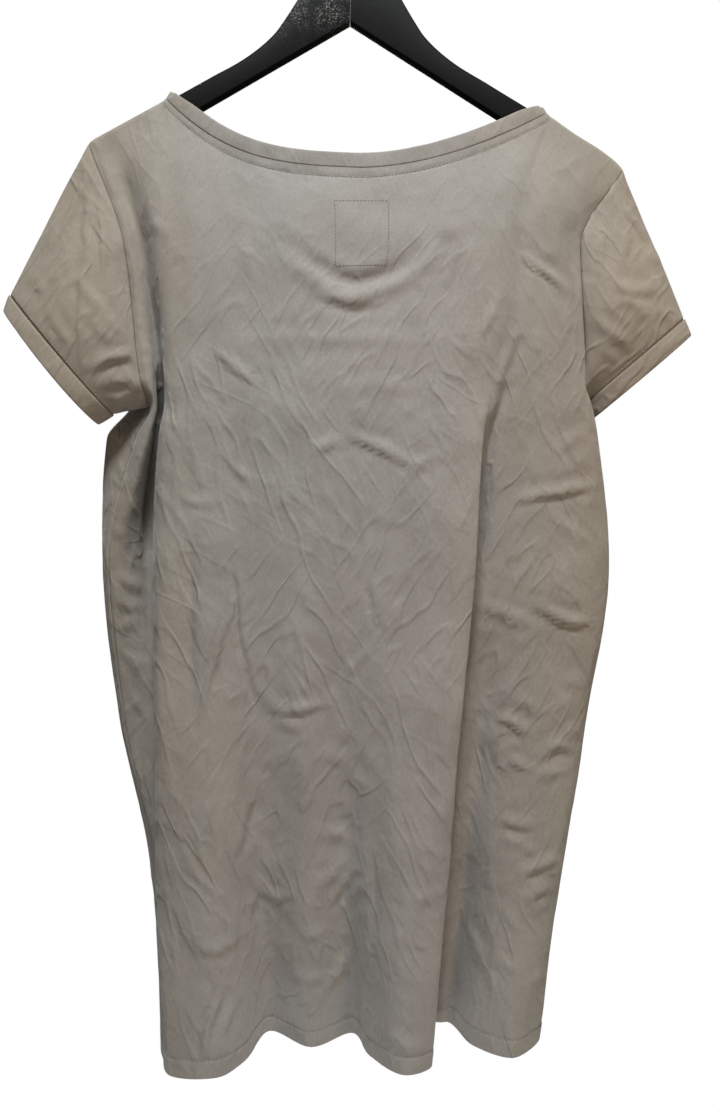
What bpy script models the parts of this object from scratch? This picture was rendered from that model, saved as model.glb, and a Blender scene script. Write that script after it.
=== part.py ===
"""A jersey t-shirt dress on a two-piece wooden hanger, as separate closed solids.

The dress hangs from the hook of its hanger, with the hook's inner top at the origin. +Z is up, the back
of the dress faces -Y, and +X is the wearer's right. Sizes below are millimetres, and the meshes are metres.

Each panel follows named lines that run down the cloth, one for each crest or trough of its folds.
"""
import math

import bmesh
import bpy
import numpy as np

MM = 0.001

# cloth and sewing
PANEL_WALL = 1.5
BAND_WALL = 2.4          # neckband and cuffs, folded double
SEAM_GAP = 0.3
CLOTH_CLEAR = 0.6        # between the cloth and the hanger's wood
TIGHT_SEAM_GAP = 0.8     # where an armhole turns sharply, under the arm and on the shoulder
UNDERARM_TURN = 3        # rows of the armhole that turn so, each side of the underarm
SHOULDER_TURN = 3        # the same, each side of the shoulder point
NECKBAND_WIDTH = 13.5
CUFF_WIDTH = 16.0

# hanger
HANGER_SPAN = 450.0
HANGER_THICKNESS = 10.0
HANGER_TILT = math.radians(1.2)      # the wearer's right end hangs lower
HANGER_APEX_Z = -122.0               # underside of the V, straight below the hook
ARM_UNDER_SLOPE = 0.609
ARM_TOP_X = 148.0
ARM_TOP_Z = -187.5
ARM_TOP_SLOPE = 0.575
ARM_TOP_ROUND = 4.4
ARM_EDGE_ROUND = 1.5
ARM_END_ROUND = 12.0
HOOK_WIRE = 3.8
HOOK_INNER_RADIUS = 20.0
HOOK_TIP_TURN = -15.0                # degrees, where the wire's free end starts
HOOK_SWEEP = 225.0
HOOK_STEPS = 16
HOOK_NECK_SHARES = (0.33, 0.66, 1.0) # down the bend from the loop to the stem
HOOK_STEM = 8.0                      # straight, above the wood

# distances from the joint at which an arm is sliced, and the turns of its rounded end
ARM_SLICES = (14.0, 26.0, 37.0, 47.6, 58.0, 67.0, 79.0, 92.0, 108.0, 124.0, 148.0, 180.0)
ARM_END_TURNS = (0.0, 30.0, 55.0, 75.0)
ARM_EDGE_TURNS = (0.0, 30.0, 60.0, 90.0)

# top outline of the hump, x from the middle and z, untilted
HUMP = (
    # x, z
    (0.0, -62.0),
    (14.0, -62.5),
    (26.0, -68.0),
    (37.0, -84.0),
    (47.6, -102.6),
    (58.0, -119.5),
    (67.0, -132.5),
    (92.0, -154.5),
    (124.0, -173.5),
)

# neckline seam: ends at the shoulder line, and how it falls between them
NECK_LEFT_X = -168.0
NECK_RIGHT_X = 175.0
NECK_DROP_BACK = 62.0
NECK_DROP_FRONT = 106.0
NECK_FULLNESS_LEFT = 3.0
NECK_FULLNESS_RIGHT = 1.75
NECK_BOW_BACK = 13.0
NECK_BOW_FRONT = 11.0
NECK_LIFT_RIGHT = 2.5                # cloth stands off the hanger by the right neck point
NECK_LIFT_REACH = 16.0
ARM_TIP_DROOP_START = 214.0
ARM_TIP_DROOP = 0.0062               # per mm, past the end of the wood

# heights of the levels at which the lines below are given
LEVELS = (
    # level, z, rows from the level above
    ("yoke", -325.0, 4),
    ("armpit", -445.0, 4),
    ("underarm", -466.0, 2),
    ("rib", -490.0, 1),
    ("waist", -604.0, 4),
    ("hip", -748.0, 5),
    ("thigh", -892.0, 5),
    ("hem", -1045.0, 6),
)
UNDERARM = 2
TOP_TURNS = (0.0, 30.0, 60.0, 90.0)     # degrees round the hanger's arm, one row of the cloth each
UNDERARM_ROW = len(TOP_TURNS) - 1 + sum(level[2] for level in LEVELS[:UNDERARM + 1])
FIRST_LEVEL = 4           # where the level places start in a line of the tables below

# lines down the back, from the left seam to the right seam: line, cells to the next, top x, hem lift,
# then (x, y) at yoke, armpit, underarm, rib, waist, hip, thigh, hem
BACK_LINES = (
    ("seam_left", 2, -235, 13,
    (-202, -14), (-188, -14), (-184, 2), (-196, 6), (-224, 14), (-212, 22), (-181, 20), (-171, 20)),
    ("ridge_left", 2, -228, 11,
    (-196, -14), (-180, -14), (-176, -9), (-182, -8), (-208, 14), (-197, 20), (-178, 2), (-172, 0)),
    ("gutter_left", 3, -217, 5,
    (-189, -6), (-172, 4), (-171, 6), (-175, 12), (-188, 28), (-178, 8), (-175, -14), (-167, -22)),
    ("brim_left", 2, -200, 0,
    (-170, -26), (-162, -26), (-162, -26), (-165, -31), (-168, -36), (-167, -38), (-168, -30), (-156, -38)),
    ("panel_left", 3, -168, 0,
    (-145, -30), (-140, -35), (-139, -36), (-139, -38), (-139, -40), (-137, -42), (-134, -43), (-128, -43)),
    ("fall_left", 3, -163, 0,
    (-132, -31), (-127, -36), (-126, -37), (-125, -39), (-125, -41), (-123, -42), (-118, -41), (-112, -39)),
    ("flank_left", 3, -136, 0,
    (-114, -32), (-108, -37), (-107, -38), (-105, -39), (-105, -40), (-104, -38), (-101, -28), (-96, -18)),
    ("arch_left", 2, -102, 5,
    (-82, -32), (-81, -37), (-81, -38), (-81, -39), (-81, -38), (-82, -30), (-81, -6), (-77, 24)),
    ("ridge_mid", 2, -52, 0,
    (-41, -32), (-41, -37), (-41, -38), (-41, -39), (-41, -40), (-41, -34), (-39, -18), (-38, 6)),
    ("notch", 2, -2, 4,
    (-2, -32), (-6, -37), (-6, -38), (-6, -39), (-6, -39), (-7, -29), (-6, -6), (0, 24)),
    ("flank_mid", 2, 38, 0,
    (28, -32), (18, -37), (15, -38), (15, -39), (15, -40), (13, -34), (14, -22), (16, -8)),
    ("lobe_mid", 3, 83, 0,
    (67, -32), (60, -37), (58, -38), (56, -39), (53, -41), (49, -41), (45, -38), (44, -37)),
    ("brim_right", 3, 132, 0,
    (111, -29), (113, -31), (114, -32), (112, -34), (106, -38), (93, -38), (81, -34), (68, -26)),
    ("fall_right", 3, 170, 0,
    (126, -28), (124, -29), (123, -29), (119, -30), (110, -30), (97, -24), (85, -12), (73, 4)),
    ("gutter_right", 2, 175, 4,
    (141, -26), (134, -26), (131, -26), (123, -25), (114, -18), (100, -6), (89, 12), (78, 34)),
    ("valley_right", 2, 191, 6,
    (156, -25), (149, -24), (146, -24), (140, -22), (130, -14), (114, 6), (102, 22), (89, 38)),
    ("flank_right", 2, 206, 0,
    (173, -23), (169, -23), (168, -23), (162, -21), (154, -17), (136, -6), (120, 5), (110, 8)),
    ("lobe_right", 2, 221, 0,
    (187, -19), (191, -19), (193, -19), (191, -17), (190, -16), (173, -14), (153, -11), (141, -11)),
    ("side_right", 2, 232, 6,
    (195, -15), (205, -14), (213, -9), (218, -7), (230, 0), (210, 0), (186, 0), (167, 6)),
    ("seam_right", 0, 240, 6,
    (202, -12), (208, -6), (192, 13), (206, 16), (231, 26), (212, 34), (187, 42), (171, 48)),
)

# lines down the front, from the right seam to the left seam, in the same columns
FRONT_LINES = (
    ("seam_right", 2, 240, 6,
    (202, 10), (204, 28), (192, 13), (206, 16), (231, 26), (212, 34), (187, 42), (171, 48)),
    ("turn_right", 2, 230, 3,
    (198, 16), (205, 37), (211, 37), (223, 44), (239, 48), (215, 56), (190, 66), (174, 76)),
    ("front_right", 3, 205, 0,
    (191, 19), (197, 45), (201, 50), (202, 54), (201, 57), (178, 66), (153, 80), (143, 90)),
    ("fall_front_right", 3, 175, 0,
    (164, 24), (168, 46), (170, 51), (166, 54), (161, 59), (142, 70), (125, 90), (114, 100)),
    ("crest_right", 2, 170, 0,
    (141, 26), (133, 46), (131, 51), (129, 54), (122, 59), (104, 71), (92, 92), (86, 106)),
    ("trough_right", 2, 90, 0,
    (62, 24), (56, 42), (54, 47), (52, 49), (50, 51), (40, 56), (35, 58), (31, 62)),
    ("front_centre", 2, 4, 0,
    (-3, 26), (-3, 45), (-3, 50), (-3, 53), (-5, 58), (-8, 70), (-11, 88), (-16, 102)),
    ("trough_left", 2, -82, 0,
    (-63, 24), (-61, 42), (-60, 47), (-60, 49), (-61, 51), (-59, 55), (-61, 56), (-65, 58)),
    ("crest_left", 3, -163, 0,
    (-138, 26), (-133, 46), (-132, 51), (-133, 54), (-134, 60), (-126, 72), (-119, 92), (-116, 108)),
    ("fall_front_left", 3, -168, 0,
    (-160, 24), (-161, 45), (-161, 50), (-162, 53), (-161, 58), (-150, 68), (-141, 84), (-139, 96)),
    ("front_left", 2, -200, 0,
    (-185, 20), (-185, 40), (-186, 46), (-194, 49), (-200, 54), (-187, 62), (-168, 70), (-158, 74)),
    ("turn_left", 2, -225, 6,
    (-197, 15), (-198, 29), (-212, 36), (-230, 34), (-235, 40), (-221, 48), (-194, 54), (-180, 54)),
    ("seam_left", 0, -235, 13,
    (-200, 9), (-189, 20), (-184, 2), (-196, 6), (-224, 14), (-212, 22), (-181, 20), (-171, 20)),
)
BACK_NECK = ("panel_left", "fall_left", "fall_right", "gutter_right")
FRONT_NECK = ("fall_front_right", "crest_right", "crest_left", "fall_front_left")

# sleeve ends: (x, y, z) of the overarm crease and the underarm fold where the cuff is sewn, the same two at
# the cuff's edge, half of the opening's depth, and how much fuller it is by the fold than by the crease
SLEEVES = {
    # side: crease, fold, crease at the edge, fold at the edge, half depth, fullness
    "left": (
        (-306.0, -4.0, -367.0), (-217.0, 4.0, -472.0),
        (-311.0, -5.0, -383.0), (-229.0, 2.0, -480.0), 25.0, 0.25),
    "right": (
        (298.0, 2.0, -387.0), (210.0, 17.0, -462.0),
        (304.0, 2.0, -402.0), (217.0, 19.0, -475.0), 20.0, 0.0),
}
SLEEVE_ROWS = 7
CUFF_ROWS = 2
SLEEVE_PUFF = 9.0


def smooth_values(knots, values, places):
    """Monotone cubic through values given at falling or rising knots, read at places."""
    knots = np.asarray(knots, float)
    values = np.asarray(values, float)
    if knots[0] > knots[-1]:
        knots, values = knots[::-1], values[::-1]
    step = np.diff(knots)[:, None]
    rise = np.diff(values, axis=0) / step
    slope = np.zeros_like(values)
    same_way = rise[1:] * rise[:-1] > 0.0
    near, far = 2.0 * step[1:] + step[:-1], step[1:] + 2.0 * step[:-1]
    above, below = np.where(same_way, rise[:-1], 1.0), np.where(same_way, rise[1:], 1.0)
    slope[1:-1] = np.where(same_way, (near + far) / (near / above + far / below), 0.0)
    slope[0], slope[-1] = rise[0], rise[-1]
    result = []
    for place in places:
        i = int(np.clip(np.searchsorted(knots, place) - 1, 0, len(knots) - 2))
        t = (place - knots[i]) / step[i, 0]
        start, end = slope[i] * step[i, 0], slope[i + 1] * step[i, 0]
        result.append(values[i] * (2 * t**3 - 3 * t**2 + 1) + start * (t**3 - 2 * t**2 + t)
                      + values[i + 1] * (3 * t**2 - 2 * t**3) + end * (t**3 - t**2))
    return np.array(result)


def between(p, q, start, end, time):
    """The point on the line from p to q at a time, p at the start and q at the end."""
    return ((end - time) * p + (time - start) * q) / (end - start)


def smooth_through(points, cells, before, after):
    """Centripetal curve through points, with the given number of cells between each pair."""
    chain = np.array([before, *points, after], float)
    result = []
    for i, count in enumerate(cells):
        a, b, c, d = chain[i:i + 4]
        times = [0.0]
        for p, q in ((a, b), (b, c), (c, d)):
            times.append(times[-1] + max(np.linalg.norm(q - p), 1e-3) ** 0.5)
        for k in range(count):
            time = times[1] + (times[2] - times[1]) * k / count
            ab = between(a, b, times[0], times[1], time)
            bc = between(b, c, times[1], times[2], time)
            cd = between(c, d, times[2], times[3], time)
            abc = between(ab, bc, times[0], times[2], time)
            bcd = between(bc, cd, times[1], times[3], time)
            result.append(between(abc, bcd, times[1], times[2], time))
    result.append(np.array(points[-1], float))
    return np.array(result)


def unit(vectors):
    """Vectors scaled to length 1."""
    return vectors / np.maximum(np.linalg.norm(vectors, axis=-1, keepdims=True), 1e-9)


def tilted(x, z):
    """A place on the hanger turned with its tilt about the hook."""
    cosine, sine = math.cos(HANGER_TILT), math.sin(HANGER_TILT)
    return x * cosine + z * sine, z * cosine - x * sine


def shoulder_z(x):
    """Height of the cloth's outer side where it crosses the top of the hanger's arm."""
    side = 1.0 if x > 0.0 else -1.0
    anchor_x, anchor_z = tilted(side * ARM_TOP_X, ARM_TOP_Z)
    slope = math.tan(math.atan(ARM_TOP_SLOPE) + side * HANGER_TILT)
    height = anchor_z - slope * (abs(x) - abs(anchor_x)) + CLOTH_CLEAR + PANEL_WALL
    if side > 0.0:
        height += NECK_LIFT_RIGHT * math.exp(-((x - NECK_RIGHT_X) / NECK_LIFT_REACH) ** 2)
        height -= ARM_TIP_DROOP * max(0.0, x - ARM_TIP_DROOP_START) ** 2
    return height


def neck_z(x, drop):
    """Height of the neckline seam, which falls from one neck point to the other."""
    middle = 0.5 * (NECK_LEFT_X + NECK_RIGHT_X)
    half = 0.5 * (NECK_RIGHT_X - NECK_LEFT_X)
    along = (x - middle) / half
    left_z, right_z = shoulder_z(NECK_LEFT_X), shoulder_z(NECK_RIGHT_X)
    chord = left_z + (right_z - left_z) * (along + 1.0) / 2.0
    fullness = NECK_FULLNESS_LEFT if along < 0.0 else NECK_FULLNESS_RIGHT
    return chord - drop * max(0.0, 1.0 - abs(along) ** fullness)


def top_rows(x, drop, bow, side):
    """The first rows of one column, from the shoulder or neck seam down round the hanger's arm."""
    out = HANGER_THICKNESS / 2.0 + CLOTH_CLEAR + PANEL_WALL
    corner = ARM_TOP_ROUND + CLOTH_CLEAR + PANEL_WALL
    on_neck = NECK_LEFT_X < x < NECK_RIGHT_X
    seam_z = neck_z(x, drop) if on_neck else shoulder_z(x)
    half = 0.5 * (NECK_RIGHT_X - NECK_LEFT_X)
    along = (x - 0.5 * (NECK_LEFT_X + NECK_RIGHT_X)) / half
    hang = bow * max(0.0, 1.0 - along * along)
    rows = []
    for turn in TOP_TURNS:
        z = seam_z - corner * (1.0 - math.cos(math.radians(turn)))
        depth = min(max(shoulder_z(x) - z, 0.0), corner)
        round_the_arm = math.sqrt(max(0.0, 1.0 - (1.0 - depth / corner) ** 2))
        y = SEAM_GAP / 2.0 + (out - SEAM_GAP / 2.0) * round_the_arm + hang
        rows.append((x, side * y, z))
    return rows


def top_places(lines, neck):
    """Top x of every column: even between lines, and closing up to the neck points."""
    places = []
    for i, line in enumerate(lines[:-1]):
        start, end = line[2], lines[i + 1][2]
        for k in range(line[1]):
            part = k / line[1]
            if (line[0], lines[i + 1][0]) == neck[0:2]:
                part = part ** 2
            if (line[0], lines[i + 1][0]) == neck[2:4]:
                part = 1.0 - (1.0 - part) ** 2
            places.append(start + (end - start) * part)
    return places + [lines[-1][2]]


def panel_surface(lines, other, neck, drop, bow, side):
    """Outer side of the back or front as rows of points."""
    cells = [line[1] for line in lines[:-1]]
    level_points = []
    for level in range(len(LEVELS)):
        points = [np.array(line[FIRST_LEVEL + level], float) for line in lines]
        if level >= UNDERARM:
            before, after = other[-2][FIRST_LEVEL + level], other[1][FIRST_LEVEL + level]
        else:
            before, after = 2.0 * points[0] - points[1], 2.0 * points[-1] - points[-2]
        level_points.append(smooth_through(points, cells, before, after))
    line_columns = np.cumsum([0] + cells)
    lifts = smooth_values(line_columns, [[line[3]] for line in lines], range(line_columns[-1] + 1))[:, 0]
    lift_top, lift_foot = LEVELS[-2][1], LEVELS[-1][1]
    columns = []
    for column, x in enumerate(top_places(lines, neck)):
        rows = top_rows(x, drop, bow, side)
        knots = [rows[-1][2]] + [level[1] for level in LEVELS]
        values = [rows[-1][:2]] + [points[column] for points in level_points]
        heights = []
        for upper, (_, z, count) in zip(knots, LEVELS):
            heights += [upper + (z - upper) * (k + 1) / count for k in range(count)]
        for place, z in zip(smooth_values(knots, values, heights), heights):
            share = max(0.0, (lift_top - z) / (lift_top - lift_foot))
            rows.append((place[0], place[1], z + lifts[column] * share ** 2))
        columns.append(rows)
    return np.array(columns).transpose(1, 0, 2)


def surface_normals(points, before=None, after=None, closed=False):
    """Outward normals of rows of points; before and after are the neighbours' columns past each side."""
    down = np.gradient(points, axis=0)
    if closed:
        across = np.roll(points, -1, axis=1) - np.roll(points, 1, axis=1)
        return unit(np.cross(down, across))
    wide = np.concatenate([before[:, None], points, after[:, None]], axis=1)
    return unit(np.cross(down, wide[:, 2:] - wide[:, :-2]))


def cloth_body(name, outer, inner, material, closed=False):
    """A closed wall between two sheets of points, open at its hem or joined round as a tube."""
    rows, columns = outer.shape[:2]
    mesh = bmesh.new()
    row_tag = mesh.verts.layers.int.new("row")
    column_tag = mesh.verts.layers.int.new("column")
    spans = columns if closed else columns - 1
    bmesh.ops.create_grid(mesh, x_segments=spans, y_segments=rows - 1, size=1.0)
    for vertex in mesh.verts:
        vertex[column_tag] = round((vertex.co.x + 1.0) / 2.0 * spans)
        vertex[row_tag] = round((1.0 - vertex.co.y) / 2.0 * (rows - 1))
    if closed:
        first = {v[row_tag]: v for v in mesh.verts if v[column_tag] == 0}
        last = [v for v in mesh.verts if v[column_tag] == spans]
        bmesh.ops.weld_verts(mesh, targetmap={v: first[v[row_tag]] for v in last})
    outside = list(mesh.verts)
    extruded = bmesh.ops.extrude_face_region(mesh, geom=list(mesh.faces), use_keep_orig=True)
    inside = [item for item in extruded["geom"] if isinstance(item, bmesh.types.BMVert)]
    for vertices, sheet in ((outside, outer), (inside, inner)):
        for vertex in vertices:
            vertex.co = sheet[vertex[row_tag], vertex[column_tag]] * MM
    bmesh.ops.recalc_face_normals(mesh, faces=mesh.faces)
    return finished(name, mesh, material)


def loft_body(name, rings, material):
    """A closed solid through rings of points, with its two ends filled."""
    rings = np.array(rings)
    count, around = rings.shape[:2]
    mesh = bmesh.new()
    loops = []
    for ring in rings:
        circle = bmesh.ops.create_circle(mesh, cap_ends=False, segments=around, radius=1.0)["verts"]
        for vertex, point in zip(circle, ring):
            vertex.co = point * MM
        loops.append(circle)
    for first, second in zip(loops, loops[1:]):
        edges = {edge for vertex in first + second for edge in vertex.link_edges}
        pair = [e for e in edges if all(v in first for v in e.verts) or all(v in second for v in e.verts)]
        bmesh.ops.bridge_loops(mesh, edges=pair)
    bmesh.ops.holes_fill(mesh, edges=[edge for edge in mesh.edges if edge.is_boundary], sides=0)
    bmesh.ops.triangulate(mesh, faces=[face for face in mesh.faces if len(face.verts) > 4])
    bmesh.ops.recalc_face_normals(mesh, faces=mesh.faces)
    return finished(name, mesh, material)


def finished(name, mesh, material):
    """The object of one piece, its faces outwards, smooth but for its sharp edges."""
    if mesh.calc_volume(signed=True) < 0.0:
        bmesh.ops.reverse_faces(mesh, faces=mesh.faces)
    data = bpy.data.meshes.new(name)
    mesh.to_mesh(data)
    mesh.free()
    data.shade_smooth()
    data.set_sharp_from_angle(angle=math.radians(40.0))
    data.materials.append(material)
    piece = bpy.data.objects.new(name, data)
    bpy.context.scene.collection.objects.link(piece)
    return piece


def finish(name, colour, roughness, metallic=0.0):
    """A plain material of one colour."""
    material = bpy.data.materials.new(name)
    material.use_nodes = True
    shader = material.node_tree.nodes["Principled BSDF"]
    shader.inputs["Base Color"].default_value = (*colour, 1.0)
    shader.inputs["Roughness"].default_value = roughness
    shader.inputs["Metallic"].default_value = metallic
    return material


def shoulder_normal(x):
    """Outward normal on the shoulder seam, square to the hanger's arm."""
    step = 1.0
    slope = (shoulder_z(x + step) - shoulder_z(x - step)) / (2.0 * step)
    return unit(np.array([-slope, 0.0, 1.0]))


def body_panels():
    """Outer sides and wall directions of the back and the front, which share their side seams."""
    back = panel_surface(BACK_LINES, FRONT_LINES, BACK_NECK, NECK_DROP_BACK, NECK_BOW_BACK, -1.0)
    front = panel_surface(FRONT_LINES, BACK_LINES, FRONT_NECK, NECK_DROP_FRONT, NECK_BOW_FRONT, 1.0)
    panels = []
    for surface, other in ((back, front), (front, back)):
        before = 2.0 * surface[:, 0] - surface[:, 1]
        after = 2.0 * surface[:, -1] - surface[:, -2]
        before[UNDERARM_ROW:] = other[UNDERARM_ROW:, -2]
        after[UNDERARM_ROW:] = other[UNDERARM_ROW:, 1]
        normals = surface_normals(surface, before, after)
        for column in range(surface.shape[1]):
            x = surface[0, column, 0]
            if not NECK_LEFT_X < x < NECK_RIGHT_X:
                normals[0, column] = shoulder_normal(x)
        inset = surface.copy()
        for edge, inward in ((0, 1), (-1, -2)):
            shift = unit(surface[:, inward] - surface[:, edge]) * SEAM_GAP / 2.0
            inset[UNDERARM_ROW:, edge] += shift[UNDERARM_ROW:]
        panels.append((inset, normals))
    return panels


def armhole(side):
    """Places round one armhole as (panel, row, column, next row, next column), the next one into the body."""
    back_edge, front_edge = (0, -1) if side == "left" else (-1, 0)
    back_in, front_in = (1, -2) if side == "left" else (-2, 1)
    places = [(0, UNDERARM_ROW, back_edge, UNDERARM_ROW + 1, back_edge)]
    places += [(0, row, back_edge, row, back_in) for row in range(UNDERARM_ROW - 1, -1, -1)]
    places += [(1, row, front_edge, row, front_in) for row in range(1, UNDERARM_ROW)]
    return places


def cuff_ring(crease, fold, half_depth, egg, shares):
    """Points round a sleeve's end, egg-shaped between the underarm fold and the overarm crease."""
    crease, fold = np.array(crease), np.array(fold)
    ring = []
    for share, side in shares:
        turn = math.pi * share
        centre = fold + (crease - fold) * (1.0 - math.cos(turn)) / 2.0
        depth = half_depth * math.sin(turn) * (1.0 + egg * math.cos(turn))
        ring.append(centre + np.array([0.0, side * depth, 0.0]))
    return np.array(ring)


def ring_shares(points):
    """How far each armhole point is from the underarm to the shoulder, and on which side of the arm."""
    tip = UNDERARM_ROW
    lengths = np.linalg.norm(np.roll(points, -1, axis=0) - points, axis=1)
    travelled = np.concatenate([[0.0], np.cumsum(lengths)])
    shares = []
    for i in range(len(points)):
        if i <= tip:
            share, even, way = travelled[i] / travelled[tip], i / tip, -1.0
        else:
            share = (travelled[-1] - travelled[i]) / (travelled[-1] - travelled[tip])
            even, way = (len(points) - i) / (len(points) - tip), 1.0
        shares.append((0.5 * share + 0.5 * even, way))
    return shares


def sleeve_surface(side, armhole_points, shares):
    """Outer side of a sleeve as rings from the armhole to where the cuff is sewn."""
    crease, fold, _, _, half_depth, egg = SLEEVES[side]
    end = cuff_ring(crease, fold, half_depth, egg, shares)
    rings = []
    for row in range(SLEEVE_ROWS + 1):
        part = row / SLEEVE_ROWS
        ring = armhole_points + (end - armhole_points) * part
        for point, (share, way) in zip(ring, shares):
            point[1] += way * SLEEVE_PUFF * math.sin(math.pi * share) * math.sin(math.pi * part)
        rings.append(ring)
    return np.array(rings)


def sleeve_and_cuff(side, panels, fabric):
    """One sleeve with its cuff; the armhole's edges of both panels are mitred to it."""
    places = armhole(side)
    points = np.array([panels[panel][0][row, column] for panel, row, column, _, _ in places])
    underarm, tip = 0, UNDERARM_ROW
    points[tip, 1] = 0.0
    shares = ring_shares(points)
    outer = sleeve_surface(side, points, shares)
    turned = -1.0 if side == "left" else 1.0
    normals = surface_normals(outer, closed=True) * turned
    mitres = [unit(panels[panel][1][row, column] + normal)
              for (panel, row, column, _, _), normal in zip(places, normals[0])]
    mitres = unit(np.roll(mitres, 1, axis=0) + 2.0 * np.array(mitres) + np.roll(mitres, -1, axis=0))
    for i, (panel, row, column, next_row, next_column) in enumerate(places):
        surface = panels[panel][0]
        mitre = mitres[i]
        into_body = unit(surface[next_row, next_column] - surface[row, column])
        into_sleeve = unit(outer[1, i] - outer[0, i])
        across = into_body - into_sleeve
        tight = min(i, len(places) - i) <= UNDERARM_TURN or abs(i - tip) <= SHOULDER_TURN
        gap = TIGHT_SEAM_GAP if tight else SEAM_GAP
        across = unit(across - mitre * np.dot(across, mitre)) * gap / 2.0
        normals[0, i] = mitre
        outer[0, i] -= across
        twins = [(panel, row, column)]
        if i in (underarm, tip):
            twins.append((1, row, -1 - column))
        for twin in twins:
            panels[twin[0]][0][twin[1], twin[2]] += across
            panels[twin[0]][1][twin[1], twin[2]] = mitre
    cuff_crease, cuff_fold, half_depth, egg = SLEEVES[side][2:]
    out = unit(cuff_ring(cuff_crease, cuff_fold, half_depth, egg, shares) - outer[-1])
    reach = np.linspace(0.0, CUFF_WIDTH, CUFF_ROWS + 1)[:, None, None]
    band_normals = surface_normals(outer[-1] + out * reach, closed=True) * turned
    normals[-1] = band_normals[0] = unit(normals[-1] + band_normals[0])
    apart = unit(out - normals[-1] * np.sum(out * normals[-1], axis=1, keepdims=True)) * SEAM_GAP
    band = outer[-1] + apart + normals[-1] * (BAND_WALL - PANEL_WALL) + out * reach
    cloth_body("sleeve_" + side, outer, outer - normals * PANEL_WALL, fabric, closed=True)
    cloth_body("cuff_" + side, band, band - band_normals * BAND_WALL, fabric, closed=True)


def neckband(panels, fabric):
    """The folded band sewn round the neckline, over the hanger's arms at both neck points."""
    (back, normals_back), (front, normals_front) = panels
    back_columns = [c for c in range(back.shape[1]) if NECK_LEFT_X < back[0, c, 0] < NECK_RIGHT_X]
    front_columns = [c for c in range(front.shape[1]) if NECK_LEFT_X < front[0, c, 0] < NECK_RIGHT_X]
    left, right = back_columns[0] - 1, back_columns[-1] + 1
    left_point = back[0, left] * [1.0, 0.0, 1.0]
    right_point = back[0, right] * [1.0, 0.0, 1.0]
    seam = np.array([left_point, *back[0, back_columns], right_point, *front[0, front_columns]])
    normals = np.array([normals_back[0, left], *normals_back[0, back_columns],
                        normals_back[0, right], *normals_front[0, front_columns]])
    along = np.roll(seam, -1, axis=0) - np.roll(seam, 1, axis=0)
    up = unit(np.cross(normals, along))
    start = seam + up * SEAM_GAP + normals * (BAND_WALL - PANEL_WALL)
    outer = np.array([start + up * NECKBAND_WIDTH, start + up * NECKBAND_WIDTH / 2.0, start])
    cloth_body("neckband", outer, outer - normals * BAND_WALL, fabric, closed=True)


def arm_section(x, low, high):
    """One upright slice of the hanger's wood, round along its top."""
    half = HANGER_THICKNESS / 2.0
    top = min(ARM_TOP_ROUND, 0.45 * (high - low))
    edge = min(ARM_EDGE_ROUND, 0.2 * (high - low))
    outline = [(half - edge, low), (half, low + edge)]
    for turn in ARM_EDGE_TURNS:
        angle = math.radians(turn)
        outline.append((half - top + top * math.cos(angle), high - top + top * math.sin(angle)))
    outline += [(-y, z) for y, z in reversed(outline)]
    ring = []
    for y, z in outline:
        turned_x, turned_z = tilted(x, z)
        ring.append((turned_x, y, turned_z))
    return ring


def hanger_arm(side, wood):
    """Half of the hanger, from the joint in the middle to the rounded end of its arm."""
    sign = -1.0 if side == "left" else 1.0
    end = HANGER_SPAN / 2.0
    places = [SEAM_GAP / 2.0, *ARM_SLICES]
    places += [end - ARM_END_ROUND * (1.0 - math.sin(math.radians(turn))) for turn in ARM_END_TURNS]
    hump_x = [point[0] for point in HUMP] + [ARM_TOP_X, end]
    hump_z = [[point[1]] for point in HUMP] + [[ARM_TOP_Z], [ARM_TOP_Z - ARM_TOP_SLOPE * (end - ARM_TOP_X)]]
    tops = smooth_values(hump_x, hump_z, places)[:, 0]
    rings = []
    for x, high in zip(places, tops):
        low = HANGER_APEX_Z - ARM_UNDER_SLOPE * x
        middle, half = 0.5 * (low + high), 0.5 * (high - low)
        past = max(0.0, x - (end - ARM_END_ROUND)) / ARM_END_ROUND
        half *= math.sqrt(1.0 - past * past)
        rings.append(arm_section(sign * x, middle - half, middle + half))
    loft_body("hanger_arm_" + side, rings, wood)


def hanger_hook(metal):
    """The wire hook: round over the rail, and down its stem to the top of the wood."""
    radius = HOOK_INNER_RADIUS + HOOK_WIRE / 2.0
    centre_z = -HOOK_INNER_RADIUS
    stem_foot = HUMP[0][1] + SEAM_GAP
    route = []
    for step in range(HOOK_STEPS + 1):
        angle = math.radians(HOOK_TIP_TURN + HOOK_SWEEP * step / HOOK_STEPS)
        route.append((-radius * math.cos(angle), centre_z + radius * math.sin(angle)))
    start_x, start_z = route[-1]
    for share in HOOK_NECK_SHARES:
        ease = share * share * (3.0 - 2.0 * share)
        route.append((start_x * (1.0 - ease), start_z + (stem_foot + HOOK_STEM - start_z) * share))
    route.append((0.0, stem_foot))
    curve = bpy.data.curves.new("hanger_hook", "CURVE")
    curve.dimensions = "3D"
    curve.bevel_depth = HOOK_WIRE / 2.0 * MM
    curve.bevel_resolution = 2
    curve.use_fill_caps = True
    spline = curve.splines.new("POLY")
    spline.points.add(len(route) - 1)
    for point, (x, z) in zip(spline.points, route):
        turned_x, turned_z = tilted(x, z)
        point.co = (turned_x * MM, 0.0, turned_z * MM, 1.0)
    curve.materials.append(metal)
    hook = bpy.data.objects.new("hanger_hook", curve)
    bpy.context.scene.collection.objects.link(hook)


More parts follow.
